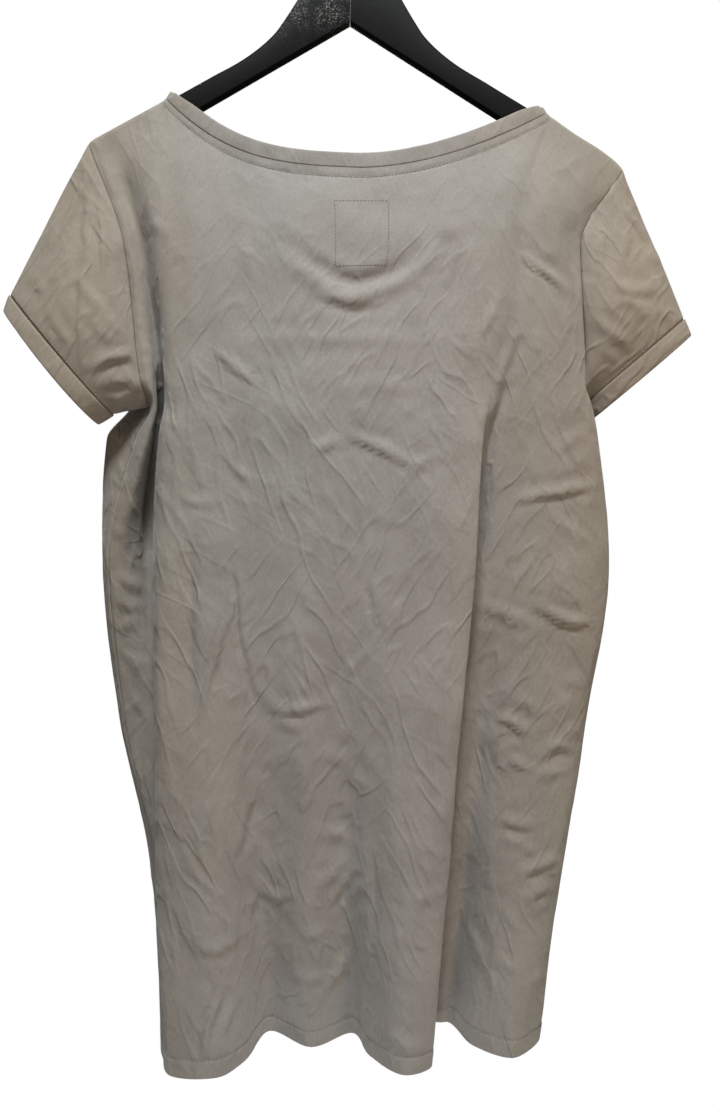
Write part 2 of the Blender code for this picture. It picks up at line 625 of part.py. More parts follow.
def build():
    """Every piece of the dress and its hanger."""
    for item in list(bpy.data.objects):
        bpy.data.objects.remove(item, do_unlink=True)
    fabric = finish("jersey", (0.27, 0.25, 0.22), 0.9)
    rib = finish("jersey_double", (0.25, 0.23, 0.20), 0.9)
    wood = finish("black_wood", (0.012, 0.010, 0.009), 0.35)
    metal = finish("chrome_wire", (0.6, 0.6, 0.6), 0.2, 1.0)
    panels = body_panels()
    for side in ("left", "right"):
        sleeve_and_cuff(side, panels, fabric)
        hanger_arm(side, wood)
    for name, (outer, normals) in zip(("back", "front"), panels):
        cloth_body(name, outer, outer - normals * PANEL_WALL, fabric)
    neckband(panels, rib)
    hanger_hook(metal)


build()
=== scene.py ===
"""Looks of a jersey t-shirt dress that hangs from a wooden hanger.

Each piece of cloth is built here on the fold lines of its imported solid, but finer, and is then creased, sewn
and given its knit. The hanger gets its lacquer and chrome. Lengths are millimetres unless a comment says
otherwise. +Z is up, the back of the dress faces -Y and +X is the wearer's right.
"""
import logging
import math
from dataclasses import dataclass, field
from enum import Enum

import bmesh
import bpy
import numpy as np
from mathutils import Matrix, Vector, noise
from mathutils.bvhtree import BVHTree


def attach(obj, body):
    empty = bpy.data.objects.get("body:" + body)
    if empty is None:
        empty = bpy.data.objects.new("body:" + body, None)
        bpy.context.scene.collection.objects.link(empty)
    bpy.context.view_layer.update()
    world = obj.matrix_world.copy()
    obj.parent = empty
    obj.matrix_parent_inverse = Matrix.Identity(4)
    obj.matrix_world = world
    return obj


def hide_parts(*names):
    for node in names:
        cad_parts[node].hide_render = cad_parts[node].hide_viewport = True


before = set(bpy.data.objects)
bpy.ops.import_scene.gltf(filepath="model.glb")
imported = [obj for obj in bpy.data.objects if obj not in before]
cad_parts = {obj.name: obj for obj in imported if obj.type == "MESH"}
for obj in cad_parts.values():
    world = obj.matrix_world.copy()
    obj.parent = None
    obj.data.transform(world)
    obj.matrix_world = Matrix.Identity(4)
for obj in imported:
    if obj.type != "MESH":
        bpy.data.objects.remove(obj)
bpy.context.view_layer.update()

Pair = tuple[float, float]
Triple = tuple[float, float, float]
Array = np.ndarray
Piece = bpy.types.Object

LOG = logging.getLogger("dress")
MM = 0.001
BODY = "root"

# how finely the cloth is meshed: cells for each cell of the fold lines, and millimetres between its rows
FINENESS = 4
ROW_STEP = 3.3

# the ridged noise's dimension, lacunarity, octaves, offset and gain, and its mean
RIDGE_SHAPE = (0.9, 2.0, 2.0, 1.0, 2.0)
RIDGE_MEAN = 1.1

# heights of the levels at which the fold lines are given, the one among them at the underarm, and where the
# cloth leaves the hanger's arm, about
LEVELS = (-325.0, -445.0, -466.0, -490.0, -604.0, -748.0, -892.0, -1045.0)
UNDERARM = 2
SHOULDER_Z = -222.0

# fold lines down the back, from the left seam to the right seam: line, cells to the next, top x, hem lift,
# then (x, y) at each level
BACK_LINES = (
    ("seam_left", 2, -235, 13,
    (-202, -14), (-188, -14), (-184, 2), (-196, 6), (-224, 14), (-212, 22), (-181, 20), (-171, 20)),
    ("ridge_left", 2, -228, 11,
    (-196, -14), (-180, -14), (-176, -9), (-182, -8), (-208, 14), (-197, 20), (-178, 2), (-172, 0)),
    ("gutter_left", 3, -217, 5,
    (-189, -6), (-172, 4), (-171, 6), (-175, 12), (-188, 28), (-178, 8), (-175, -14), (-167, -22)),
    ("brim_left", 2, -200, 0,
    (-170, -26), (-162, -26), (-162, -26), (-165, -31), (-168, -36), (-167, -38), (-168, -30), (-156, -38)),
    ("panel_left", 3, -168, 0,
    (-145, -30), (-140, -35), (-139, -36), (-139, -38), (-139, -40), (-137, -42), (-134, -43), (-128, -43)),
    ("fall_left", 3, -163, 0,
    (-132, -31), (-127, -36), (-126, -37), (-125, -39), (-125, -41), (-123, -42), (-118, -41), (-112, -39)),
    ("flank_left", 3, -136, 0,
    (-114, -32), (-108, -37), (-107, -38), (-105, -39), (-105, -40), (-104, -38), (-101, -28), (-96, -18)),
    ("arch_left", 2, -102, 5,
    (-82, -32), (-81, -37), (-81, -38), (-81, -39), (-81, -38), (-82, -30), (-81, -6), (-77, 24)),
    ("ridge_mid", 2, -52, 0,
    (-41, -32), (-41, -37), (-41, -38), (-41, -39), (-41, -40), (-41, -34), (-39, -18), (-38, 6)),
    ("notch", 2, -2, 4,
    (-2, -32), (-6, -37), (-6, -38), (-6, -39), (-6, -39), (-7, -29), (-6, -6), (0, 24)),
    ("flank_mid", 2, 38, 0,
    (28, -32), (18, -37), (15, -38), (15, -39), (15, -40), (13, -34), (14, -22), (16, -8)),
    ("lobe_mid", 3, 83, 0,
    (67, -32), (60, -37), (58, -38), (56, -39), (53, -41), (49, -41), (45, -38), (44, -37)),
    ("brim_right", 3, 132, 0,
    (111, -29), (113, -31), (114, -32), (112, -34), (106, -38), (93, -38), (81, -34), (68, -26)),
    ("fall_right", 3, 170, 0,
    (126, -28), (124, -29), (123, -29), (119, -30), (110, -30), (97, -24), (85, -12), (73, 4)),
    ("gutter_right", 2, 175, 4,
    (141, -26), (134, -26), (131, -26), (123, -25), (114, -18), (100, -6), (89, 12), (78, 34)),
    ("valley_right", 2, 191, 6,
    (156, -25), (149, -24), (146, -24), (140, -22), (130, -14), (114, 6), (102, 22), (89, 38)),
    ("flank_right", 2, 206, 0,
    (173, -23), (169, -23), (168, -23), (162, -21), (154, -17), (136, -6), (120, 5), (110, 8)),
    ("lobe_right", 2, 221, 0,
    (187, -19), (191, -19), (193, -19), (191, -17), (190, -16), (173, -14), (153, -11), (141, -11)),
    ("side_right", 2, 232, 6,
    (195, -15), (205, -14), (213, -9), (218, -7), (230, 0), (210, 0), (186, 0), (167, 6)),
    ("seam_right", 0, 240, 6,
    (202, -12), (208, -6), (192, 13), (206, 16), (231, 26), (212, 34), (187, 42), (171, 48)),
)

# fold lines down the front, from the right seam to the left seam, in the same columns
FRONT_LINES = (
    ("seam_right", 2, 240, 6,
    (202, 10), (204, 28), (192, 13), (206, 16), (231, 26), (212, 34), (187, 42), (171, 48)),
    ("turn_right", 2, 230, 3,
    (198, 16), (205, 37), (211, 37), (223, 44), (239, 48), (215, 56), (190, 66), (174, 76)),
    ("front_right", 3, 205, 0,
    (191, 19), (197, 45), (201, 50), (202, 54), (201, 57), (178, 66), (153, 80), (143, 90)),
    ("fall_front_right", 3, 175, 0,
    (164, 24), (168, 46), (170, 51), (166, 54), (161, 59), (142, 70), (125, 90), (114, 100)),
    ("crest_right", 2, 170, 0,
    (141, 26), (133, 46), (131, 51), (129, 54), (122, 59), (104, 71), (92, 92), (86, 106)),
    ("trough_right", 2, 90, 0,
    (62, 24), (56, 42), (54, 47), (52, 49), (50, 51), (40, 56), (35, 58), (31, 62)),
    ("front_centre", 2, 4, 0,
    (-3, 26), (-3, 45), (-3, 50), (-3, 53), (-5, 58), (-8, 70), (-11, 88), (-16, 102)),
    ("trough_left", 2, -82, 0,
    (-63, 24), (-61, 42), (-60, 47), (-60, 49), (-61, 51), (-59, 55), (-61, 56), (-65, 58)),
    ("crest_left", 3, -163, 0,
    (-138, 26), (-133, 46), (-132, 51), (-133, 54), (-134, 60), (-126, 72), (-119, 92), (-116, 108)),
    ("fall_front_left", 3, -168, 0,
    (-160, 24), (-161, 45), (-161, 50), (-162, 53), (-161, 58), (-150, 68), (-141, 84), (-139, 96)),
    ("front_left", 2, -200, 0,
    (-185, 20), (-185, 40), (-186, 46), (-194, 49), (-200, 54), (-187, 62), (-168, 70), (-158, 74)),
    ("turn_left", 2, -225, 6,
    (-197, 15), (-198, 29), (-212, 36), (-230, 34), (-235, 40), (-221, 48), (-194, 54), (-180, 54)),
    ("seam_left", 0, -235, 13,
    (-200, 9), (-189, 20), (-184, 2), (-196, 6), (-224, 14), (-212, 22), (-181, 20), (-171, 20)),
)

# creases of the back: half width, height (below 0 for a trough), how wide its lower side is beside the
# upper one, then the points (x, z) of its route
BACK_CREASES = (
    (6, -1.6, 1, (-62, -324), (-30, -352), (6, -364), (43, -349), (65, -327)),
    (5, 1.2, 1, (-58, -337), (-26, -365), (8, -376), (44, -361), (67, -339)),
    (3, 0.8, 1, (-174, -307), (-160, -321)),
    (2, 0.9, 1, (80, -309), (86, -320), (93, -310)),
    (3.5, 1.6, 0.5, (146, -339), (166, -352), (188, -368)),
    (3, 1.3, 0.6, (-36, -373), (-2, -382), (17, -380)),
    (1.6, 0.5, 1, (-107, -415), (-19, -413), (75, -415)),
    (2.5, 0.9, 1, (-49, -384), (-31, -420)),
    (2, -0.8, 1, (-40, -388), (-26, -424)),
    (3, 0.7, 1, (94, -324), (75, -376)),
    (3.5, 0.7, 1, (127, -376), (104, -425)),
    (3, 1.1, 0.6, (-118, -423), (-97, -442), (-78, -454)),
    (3.5, 0.8, 1, (-78, -442), (-88, -475), (-97, -511)),
    (2.5, 0.7, 1, (-11, -436), (-6, -462)),
    (2, 0.5, 1, (-28, -458), (15, -454), (62, -456)),
    (2.8, 1.7, 0.5, (-6, -496), (6, -501), (37, -515), (55, -525)),
    (3, 1.2, 0.6, (72, -511), (48, -528), (36, -546)),
    (2.5, 1, 1, (-33, -510), (-9, -500)),
    (3, 1, 0.6, (-19, -492), (-10, -536)),
    (3, 0.8, 1, (-26, -504), (-46, -536)),
    (1.6, 1, 1, (88, -462), (89, -519)),
    (3.5, 1, 1, (81, -530), (67, -574)),
    (2.5, 1.1, 1, (-97, -524), (-91, -537)),
    (2.5, 0.9, 1, (-96, -547), (-91, -557)),
    (3, 0.8, 0.6, (-153, -530), (-143, -552), (-117, -556)),
    (2.6, 1.6, 0.5, (142, -552), (175, -546), (214, -538)),
    (4, 0.9, 1, (144, -401), (127, -450)),
    (2.5, 0.8, 1, (137, -442), (127, -454)),
    (3, 0.8, 1, (181, -509), (204, -487)),
    (3.5, 0.9, 1, (-11, -536), (-6, -579)),
    (4, 0.8, 1, (-18, -552), (-30, -597)),
    (3.5, 0.8, 1, (6, -552), (12, -597)),
    (3, 0.7, 1, (-61, -559), (-44, -535)),
    (3.5, 0.7, 1, (28, -548), (17, -593)),
    (5, -0.9, 0.4, (-140, -586), (-139, -672), (-138, -747)),
    (3.4, -1.8, 0.5, (-104, -597), (-97, -677), (-88, -715), (-78, -748)),
    (3.2, 1.3, 0.6, (-100, -628), (-117, -685), (-131, -743)),
    (3.5, 1, 0.6, (-49, -613), (-78, -670)),
    (3, 0.8, 1, (-45, -626), (-24, -657)),
    (3, -1.5, 0.5, (8, -621), (24, -677)),
    (3, 1.3, 0.6, (42, -638), (24, -677)),
    (3.5, 0.9, 1, (16, -674), (-4, -703), (-19, -730)),
    (3.5, 0.9, 0.6, (-41, -673), (-31, -703), (-23, -730)),
    (3.2, 1.2, 0.5, (28, -707), (33, -775), (37, -842)),
    (3, 1.1, 0.5, (72, -696), (69, -741), (68, -786)),
    (3.5, 0.9, 1, (67, -789), (74, -814), (76, -842)),
    (3, 1.4, 0.5, (-80, -715), (-63, -733), (-23, -728)),
    (2.8, 1.1, 1, (-71, -727), (-59, -743), (-42, -751)),
    (3.4, 1.1, 0.6, (-58, -755), (-37, -806), (-27, -829)),
    (4, -1.2, 1, (-79, -806), (-89, -836), (-97, -868)),
    (3.5, 0.9, 1, (-70, -807), (-54, -842)),
    (4, 0.9, 1, (-118, -806), (-131, -846), (-114, -880)),
    (3.5, 1, 1, (-161, -763), (-153, -806), (-134, -846)),
    (4, 1, 0.6, (-165, -798), (-140, -859), (-113, -894)),
    (2.6, 0.8, 1, (-26, -772), (-2, -780)),
    (3, 0.9, 1, (-28, -841), (-1, -849)),
    (3, 1.5, 0.5, (3, -873), (-10, -892), (-24, -915)),
    (3, 1.1, 1, (17, -878), (-2, -904), (-18, -925)),
    (3, 1, 1, (-6, -866), (-19, -884), (-30, -890)),
    (4.5, -1.4, 0.6, (15, -854), (20, -894), (16, -954)),
    (3.2, 1, 1, (-45, -901), (-36, -940)),
    (2.5, 1, 1, (-38, -933), (-26, -939)),
    (3, 1.4, 0.5, (-88, -893), (-71, -905), (-53, -900)),
    (2.6, 0.9, 1, (-71, -905), (-78, -917)),
    (2.6, 0.8, 1, (-84, -905), (-97, -909)),
    (3, -1, 1, (-99, -909), (-97, -970)),
    (2.8, 1.2, 0.6, (-132, -931), (-118, -938), (-100, -930)),
    (4, 1.8, 0.6, (-113, -970), (-122, -996), (-131, -1034)),
    (2.6, 1.4, 1, (-105, -985), (-112, -1009)),
    (3, 0.8, 1, (-120, -947), (-116, -969)),
    (3, 0.9, 1, (-54, -974), (-24, -982)),
    (3.5, 1.1, 1, (-1, -957), (-14, -977), (-28, -996)),
    (4, 0.8, 1, (22, -1009), (43, -1020), (67, -1022)),
    (3, 0.7, 1, (45, -715), (43, -741)),
    (3, 0.8, 1, (55, -896), (75, -887)),
    (3, 0.9, 1, (37, -842), (43, -880)),
    (2.6, 0.8, 1, (45, -909), (62, -928)),
    (2.4, 0.7, 1, (37, -928), (67, -932)),
    (4, 0.7, 1, (0, -741), (-19, -775)),
    (3, 0.7, 1, (-6, -789), (17, -801)),
    (3.2, 2.2, 0.45, (160, -643), (178, -654), (211, -663)),
    (3, 1.3, 0.5, (165, -625), (170, -648)),
    (3, 0.9, 1, (112, -644), (140, -653), (167, -666)),
    (4, 1, 1, (130, -734), (157, -687)),
    (3, 0.9, 1, (187, -706), (205, -715)),
    (2.6, 1.6, 0.5, (130, -746), (143, -750), (154, -760)),
    (2.8, 1.3, 1, (144, -766), (130, -779), (137, -794)),
    (2.6, 1.4, 0.5, (140, -781), (156, -793)),
    (3, 1.8, 0.5, (169, -783), (179, -769), (196, -774)),
    (2.6, 1.3, 1, (165, -795), (188, -787)),
    (3, 1, 1, (182, -764), (200, -753)),
    (3, 1, 1, (147, -727), (165, -737)),
    (2.5, 1.5, 0.5, (133, -838), (147, -840), (161, -837)),
    (2.5, 1.1, 1, (133, -812), (135, -840)),
    (2.4, 1.1, 1, (137, -855), (149, -848)),
    (2.6, 1.2, 1, (150, -855), (162, -866)),
    (2.8, 1.5, 0.5, (151, -884), (171, -873), (183, -872)),
    (2.6, 1.6, 0.5, (153, -909), (171, -896), (179, -902)),
    (2.2, 1.1, 1, (161, -916), (172, -909), (177, -912)),
    (3, 1, 1, (133, -911), (146, -936)),
    (2.6, 1.1, 1, (126, -960), (146, -969)),
    (2.2, 1.3, 0.4, (124, -846), (124, -929), (125, -1013)),
    (4, 0.9, 1, (103, -934), (121, -975)),
    (2.4, 0.9, 1, (161, -978), (171, -975)),
    (3, 0.7, 1, (140, -991), (151, -1012)),
    (4, 0.8, 1, (134, -674), (121, -709)),
    (4, 0.8, 1, (156, -604), (143, -630)),
    (4, 0.9, 1, (182, -568), (204, -590)),
    (4, 0.7, 1, (130, -604), (126, -639)),
    (3, 1.2, 1, (-215, -505), (-195, -501)),
    (3, 1.1, 1, (-218, -521), (-202, -536)),
    (2.4, -1.2, 1, (-197, -479), (-206, -503), (-215, -537)),
    (3, 1, 1, (-221, -567), (-208, -585)),
    (3, 1.3, 1, (-215, -617), (-195, -631)),
    (2.6, 1.2, 1, (-212, -640), (-199, -651)),
    (2.6, 1.1, 1, (-214, -668), (-200, -660)),
    (3, 1.2, 1, (-210, -691), (-195, -704)),
    (3, 1, 1, (-204, -723), (-193, -746)),
    (2.6, 1, 1, (-186, -787), (-191, -807)),
    (3, 0.8, 1, (-200, -732), (-206, -768)),
    (6, 0.5, 1, (-131, -380), (-140, -414)),
    (5, 0.5, 1, (-97, -328), (-78, -373)),
    (4, 0.5, 1, (58, -380), (43, -414)),
    (8, 0.5, 1, (0, -406), (3, -492)),
    (5, 0.5, 1, (-148, -466), (-155, -509)),
    (4, 0.6, 1, (-58, -475), (-45, -500)),
    (4, 0.6, 1, (41, -483), (58, -466)),
    (5, 0.6, 1, (-126, -603), (-133, -655)),
    (4, 0.6, 1, (-6, -638), (-11, -672)),
    (4, 0.7, 1, (51, -603), (58, -646)),
)

# creases of the sleeves, in the same columns
SLEEVE_CREASES = {
    "left": (
        (4, 1.6, 0.6, (-235, -255), (-245, -286), (-257, -320)),
        (3.5, 1.8, 0.5, (-226, -293), (-220, -318), (-219, -355)),
        (3, 1, 1, (-233, -313), (-228, -337)),
        (3.5, 1.2, 1, (-239, -358), (-222, -382), (-203, -408)),
        (3, 1, 1, (-230, -385), (-208, -417)),
        (4, 1, 1, (-266, -387), (-247, -417)),
        (3.2, 1.8, 0.5, (-229, -439), (-210, -427), (-186, -423)),
        (3, 1.4, 0.6, (-226, -453), (-204, -446), (-181, -444)),
        (3, 1.2, 1, (-222, -464), (-201, -460)),
        (4, 0.8, 1, (-261, -295), (-269, -327)),
        (5, 1.2, 0.5, (-236, -253), (-234, -327), (-236, -398), (-235, -436)),
        (4, 0.8, 1, (-283, -353), (-269, -371)),
    ),
    "right": (
        (4, 1.3, 0.6, (239, -289), (249, -302), (261, -320)),
        (4, 1, 1, (243, -314), (235, -355)),
        (3, 1.6, 0.5, (228, -363), (246, -368), (267, -365)),
        (3, 1.2, 1, (233, -372), (248, -378), (262, -389)),
        (3.5, 1, 1, (266, -327), (278, -353)),
        (4, 1.2, 1, (212, -389), (228, -405), (248, -418)),
        (3.5, 1, 0.6, (224, -295), (218, -327), (216, -355)),
        (3, 0.9, 1, (257, -337), (271, -332)),
        (3, 1, 1, (270, -382), (283, -391)),
        (4, 0.8, 1, (221, -412), (232, -429)),
    ),
}

# top outline of the hanger's hump, untilted: (x from the middle, z)
HUMP = (
    (0.0, -62.0), (14.0, -62.5), (26.0, -68.0), (37.0, -84.0), (47.6, -102.6), (58.0, -119.5), (67.0, -132.5),
    (92.0, -154.5), (124.0, -173.5))

# sleeve ends: (x, y, z) of the overarm crease and the underarm fold where the cuff is sewn, the same two at
# the cuff's edge, half of the opening's depth, and how much fuller it is by the fold than by the crease
SLEEVES = {
    # side: crease, fold, crease at the edge, fold at the edge, half depth, fullness
    "left": (
        (-306.0, -4.0, -367.0), (-217.0, 4.0, -472.0),
        (-311.0, -5.0, -383.0), (-229.0, 2.0, -480.0), 25.0, 0.25),
    "right": (
        (298.0, 2.0, -387.0), (210.0, 17.0, -462.0),
        (304.0, 2.0, -402.0), (217.0, 19.0, -475.0), 20.0, 0.0),
}


class Way(Enum):
    """Which way a panel faces: the back to -Y, the front to +Y."""

    BACK = -1.0
    FRONT = 1.0


class Side(Enum):
    """A side of the dress, with the sign of its x."""

    LEFT = -1.0
    RIGHT = 1.0

    @property
    def word(self) -> str:
        """The side as it stands in the names of nodes."""
        return self.name.lower()


class Ripple(Enum):
    """The kind of small waves that a noise gives: even clouds or soft ridges."""

    CLOUDS = "clouds"
    RIDGES = "ridges"


class Socket:
    """A number or vector on its way through a material's nodes; sums on it add Math nodes."""

    def __init__(self, graph: "Graph", socket: bpy.types.NodeSocket) -> None:
        """Wraps a node's output socket."""
        self.graph = graph
        self.socket = socket

    def maths(self, operation: str, *others: "Socket | float", clamp: bool = False) -> "Socket":
        """A Math node on this value and others, held between 0 and 1 if it is clamped."""
        settings = {"operation": operation, "use_clamp": clamp}
        return self.graph.node("ShaderNodeMath", settings, (self, *others))

    def __add__(self, other: "Socket | float") -> "Socket":
        """This plus other."""
        return self.maths("ADD", other)

    def __mul__(self, other: "Socket | float") -> "Socket":
        """This times other."""
        return self.maths("MULTIPLY", other)

    def __sub__(self, other: "Socket | float") -> "Socket":
        """This less other."""
        return self.maths("SUBTRACT", other)

    def __rsub__(self, other: float) -> "Socket":
        """A number less this."""
        return (self * -1.0) + other

    __radd__ = __add__
    __rmul__ = __mul__

    def clamped(self) -> "Socket":
        """This held between 0 and 1."""
        return self.maths("ADD", 0.0, clamp=True)

    def ramp(self, low: float, high: float) -> "Socket":
        """Smooth step from 0 at low to 1 at high, which may be under low."""
        settings = {"interpolation_type": "SMOOTHSTEP"}
        return self.graph.node("ShaderNodeMapRange", settings, (self, low, high, 0.0, 1.0))


class Graph:
    """The node tree of a material or of the studio's surroundings."""

    def __init__(self, owner: "bpy.types.Material | bpy.types.World") -> None:
        """Turns the owner's nodes on."""
        owner.use_nodes = True
        self.owner, self.tree = owner, owner.node_tree

    def node(self, kind: str, settings: dict, values: "tuple | dict" = (), output: "int | str" = 0) -> Socket:
        """Adds a node.

        Args:
            kind: the node's type.
            settings: its own settings, set before its sockets.
            values: its sockets' values or links, in order or by name.
            output: which output is wanted, by number or name.

        Returns:
            That output.
        """
        node = self.tree.nodes.new(kind)
        for key, value in settings.items():
            setattr(node, key, value)
        pairs = values.items() if isinstance(values, dict) else enumerate(values)
        for key, value in pairs:
            self.feed(node.inputs[key], value)
        return Socket(self, node.outputs[output])

    def feed(self, target: bpy.types.NodeSocket, value: "Socket | float | tuple") -> None:
        """Links a value to a socket, or sets it there.

        Args:
            target: the socket.
            value: a Socket, a number, or a vector or colour.
        """
        if isinstance(value, Socket):
            self.tree.links.new(value.socket, target)
        else:
            target.default_value = value

    def place(self, stretch: Triple, uv: bool = False, turn: float = 0.0) -> Socket:
        """Coordinates for a pattern.

        Args:
            stretch: repeats to the metre along each axis.
            uv: whether the pattern follows the cloth, and not the object.
            turn: how far the pattern is turned about Y, in radians.

        Returns:
            The stretched coordinates.
        """
        source = self.node("ShaderNodeTexCoord", {}, (), "UV" if uv else "Object")
        if turn:
            values = {"Vector": source, "Angle": turn}
            source = self.node("ShaderNodeVectorRotate", {"rotation_type": "Y_AXIS"}, values)
        return self.node("ShaderNodeMapping", {}, {"Vector": source, "Scale": stretch})

    def part(self, axis: str) -> Socket:
        """One coordinate of the place on the object, in metres."""
        return self.node("ShaderNodeSeparateXYZ", {}, (self.place((1.0, 1.0, 1.0)),), axis)

    def cloud(self, stretch: Triple, detail: float = 2.0, roughness: float = 0.5,
              uv: bool = False, turn: float = 0.0) -> Socket:
        """Soft noise from 0 to 1.

        Args:
            stretch: clouds to the metre along each axis.
            detail: its octaves.
            roughness: how strong the finer octaves are.
            uv: whether it follows the cloth, and not the object.
            turn: how far it is turned about Y, in radians.

        Returns:
            The noise.
        """
        place = self.place(stretch, uv, turn)
        values = {"Vector": place, "Scale": 1.0, "Detail": detail, "Roughness": roughness}
        return self.node("ShaderNodeTexNoise", {}, values)

    def facets(self, stretch: Triple, swirl: float = 0.5) -> Socket:
        """Crumpled facets that meet in crisp lines.

        Args:
            stretch: facets to the metre along each axis.
            swirl: how far the lines wander.

        Returns:
            A height from about 0 to 0.8.
        """
        place = self.place(stretch)
        wander = self.node("ShaderNodeTexNoise", {}, {"Vector": place, "Scale": 0.9, "Detail": 1.0}, "Color")
        settings = {"operation": "MULTIPLY_ADD"}
        moved = self.node("ShaderNodeVectorMath", settings, (wander, (swirl,) * 3, place))
        return self.node("ShaderNodeTexVoronoi", {}, {"Vector": moved, "Scale": 1.0})

    def ridges(self, across: float, along: float, turn: float) -> Socket:
        """Long thin creases, so many to the metre, turned from upright: 1 along each crest."""
        cloud = self.cloud((across, across, along), 1.5, 0.4, turn=turn)
        return (cloud - 0.5).maths("ABSOLUTE").ramp(0.085, 0.0)

    def rows(self, way: str, count: float) -> Socket:
        """Even round rows of knit, side by side along X or Y of the cloth.

        Args:
            way: "X" or "Y".
            count: rows to the metre.

        Returns:
            Their height, from 0 to 1.
        """
        stretch = (count, 1.0, 1.0) if way == "X" else (1.0, count, 1.0)
        values = {"Vector": self.place(stretch, uv=True), "Scale": math.tau / 20.0, "Distortion": 0.0}
        return self.node("ShaderNodeTexWave", {"bands_direction": way}, values, "Fac")

    def blend(self, share: "Socket | float", first: "Socket | tuple", second: "Socket | tuple",
              kind: str = "MIX") -> Socket:
        """Mixes two colours.

        Args:
            share: how much of the second.
            first: the first colour.
            second: the second colour.
            kind: the way they are mixed.

        Returns:
            The mixed colour.
        """
        node = self.tree.nodes.new("ShaderNodeMix")
        node.data_type, node.blend_type = "RGBA", kind
        self.feed(node.inputs["Factor"], share)
        for key, value in ((6, first), (7, second)):
            self.feed(node.inputs[key], value if isinstance(value, Socket) else (*value[:3], 1.0))
        return Socket(self, node.outputs[2])

    def raised(self, height: Socket, depth: float, under: "Socket | None" = None) -> Socket:
        """A bumpy normal.

        Args:
            height: from 0 to 1.
            depth: what a height of 1 is, in millimetres.
            under: the normal that it is raised on, or None for the surface's own.

        Returns:
            The normal.
        """
        values = {"Height": height, "Distance": depth * MM, "Strength": 1.0}
        if under is not None:
            values["Normal"] = under
        return self.node("ShaderNodeBump", {}, values)

    def dress(self, **values: "Socket | float | Triple") -> bpy.types.Material:
        """Feeds the material's Principled shader.

        Args:
            values: numbers, colours or links by the names of their sockets, with _ for a space.

        Returns:
            The material.
        """
        for key, value in values.items():
            target = self.tree.nodes["Principled BSDF"].inputs[key.replace("_", " ")]
            self.feed(target, (*value, 1.0) if isinstance(value, tuple) else value)
        return self.owner


@dataclass(frozen=True)
class Jersey:
    """Fine matte knit of mixed grey and brown fibres."""

    name: str
    light: Triple
    dark: Triple
    cool: Triple
    # painted light: the tint of warm side light, and between which distances from the middle, in metres, it
    # comes in
    painted_warm_light: Triple = (1.0, 0.91, 0.78)
    painted_warm_light_from: Pair = (0.05, 0.28)
    sleeve_from: Pair = (0.2, 0.25)
    chest: Pair = (-0.24, -0.46)
    wales: float = 1150.0
    courses: float = 900.0
    knit_depth: float = 0.10
    crease_depth: float = 4.0
    roughness: float = 0.92
    sheen: float = 0.18

    def colour(self, graph: Graph, fibres: Socket, mottle: Socket) -> Socket:
        """Yarn of two tones, unevenly washed, cooler in places, and with painted warm light that makes it
        warmer towards both sides.

        Args:
            graph: the material's nodes.
            fibres: noise of the single fibres.
            mottle: noise of the uneven yarn.

        Returns:
            The colour.
        """
        washed = graph.cloud((26.0, 15.0, 1.0), 2.0, 0.5, uv=True)
        tone = (fibres.ramp(0.25, 0.75) * 0.45 + mottle.ramp(0.3, 0.7) * 0.35
                + washed.ramp(0.3, 0.7) * 0.3).clamped()
        yarn = graph.blend(tone, self.dark, self.light)
        coolness = graph.cloud((5.0, 5.0, 3.0), 1.0, 0.4).ramp(0.35, 0.7) * 0.6
        cooled = graph.blend(coolness, yarn, self.cool, "MULTIPLY")
        # painted light: the cloth is tinted warmer towards both sides, where warm side light would fall
        painted_light_share = graph.part("X").maths("ABSOLUTE").ramp(*self.painted_warm_light_from)
        return graph.blend(painted_light_share, cooled, self.painted_warm_light, "MULTIPLY")

    def crumple(self, graph: Graph) -> Socket:
        """Crumpled facets, and fine leaning creases that are weaker across the shoulders and the chest.

        Args:
            graph: the material's nodes.

        Returns:
            The height, from about 0 to 1.
        """
        crumpled = graph.cloud((9.0, 9.0, 6.0), 1.0, 0.4).ramp(0.35, 0.6)
        low = graph.part("Z").ramp(*self.chest)
        worn = (low + graph.part("X").maths("ABSOLUTE").ramp(*self.sleeve_from)).clamped()
        facets = graph.facets((24.0, 24.0, 13.0)) + graph.facets((55.0, 55.0, 36.0)) * 0.28
        lines = (graph.ridges(52.0, 14.0, 0.4) * crumpled + graph.ridges(60.0, 16.0, -0.55) * (1.0 - crumpled)
                 + graph.ridges(46.0, 16.0, 1.0) * crumpled * 0.35) * (worn * 0.65 + 0.35)
        soft = graph.cloud((34.0, 34.0, 22.0), 2.0, 0.5)
        return facets * (crumpled * 0.6 + 0.4) + lines * 0.17 + soft * 0.5

    def material(self) -> bpy.types.Material:
        """The cloth's material, which reads the cloth's UV map in metres.

        Returns:
            The material.
        """
        graph = Graph(bpy.data.materials.new(self.name))
        fibres = graph.cloud((2100.0, 330.0, 1.0), 3.0, 0.7, uv=True)
        mottle = graph.cloud((420.0, 240.0, 1.0), 3.0, 0.6, uv=True)
        creased = graph.raised(self.crumple(graph), self.crease_depth)
        rows = graph.rows("X", self.wales) * 0.5 + graph.rows("Y", self.courses) * 0.2
        knit = graph.raised(rows + mottle * 0.9 + fibres * 0.5, self.knit_depth, creased)
        return graph.dress(Base_Color=self.colour(graph, fibres, mottle), Normal=knit,
                           Roughness=self.roughness, Sheen_Weight=self.sheen, Sheen_Roughness=0.5,
                           Specular_IOR_Level=0.25)


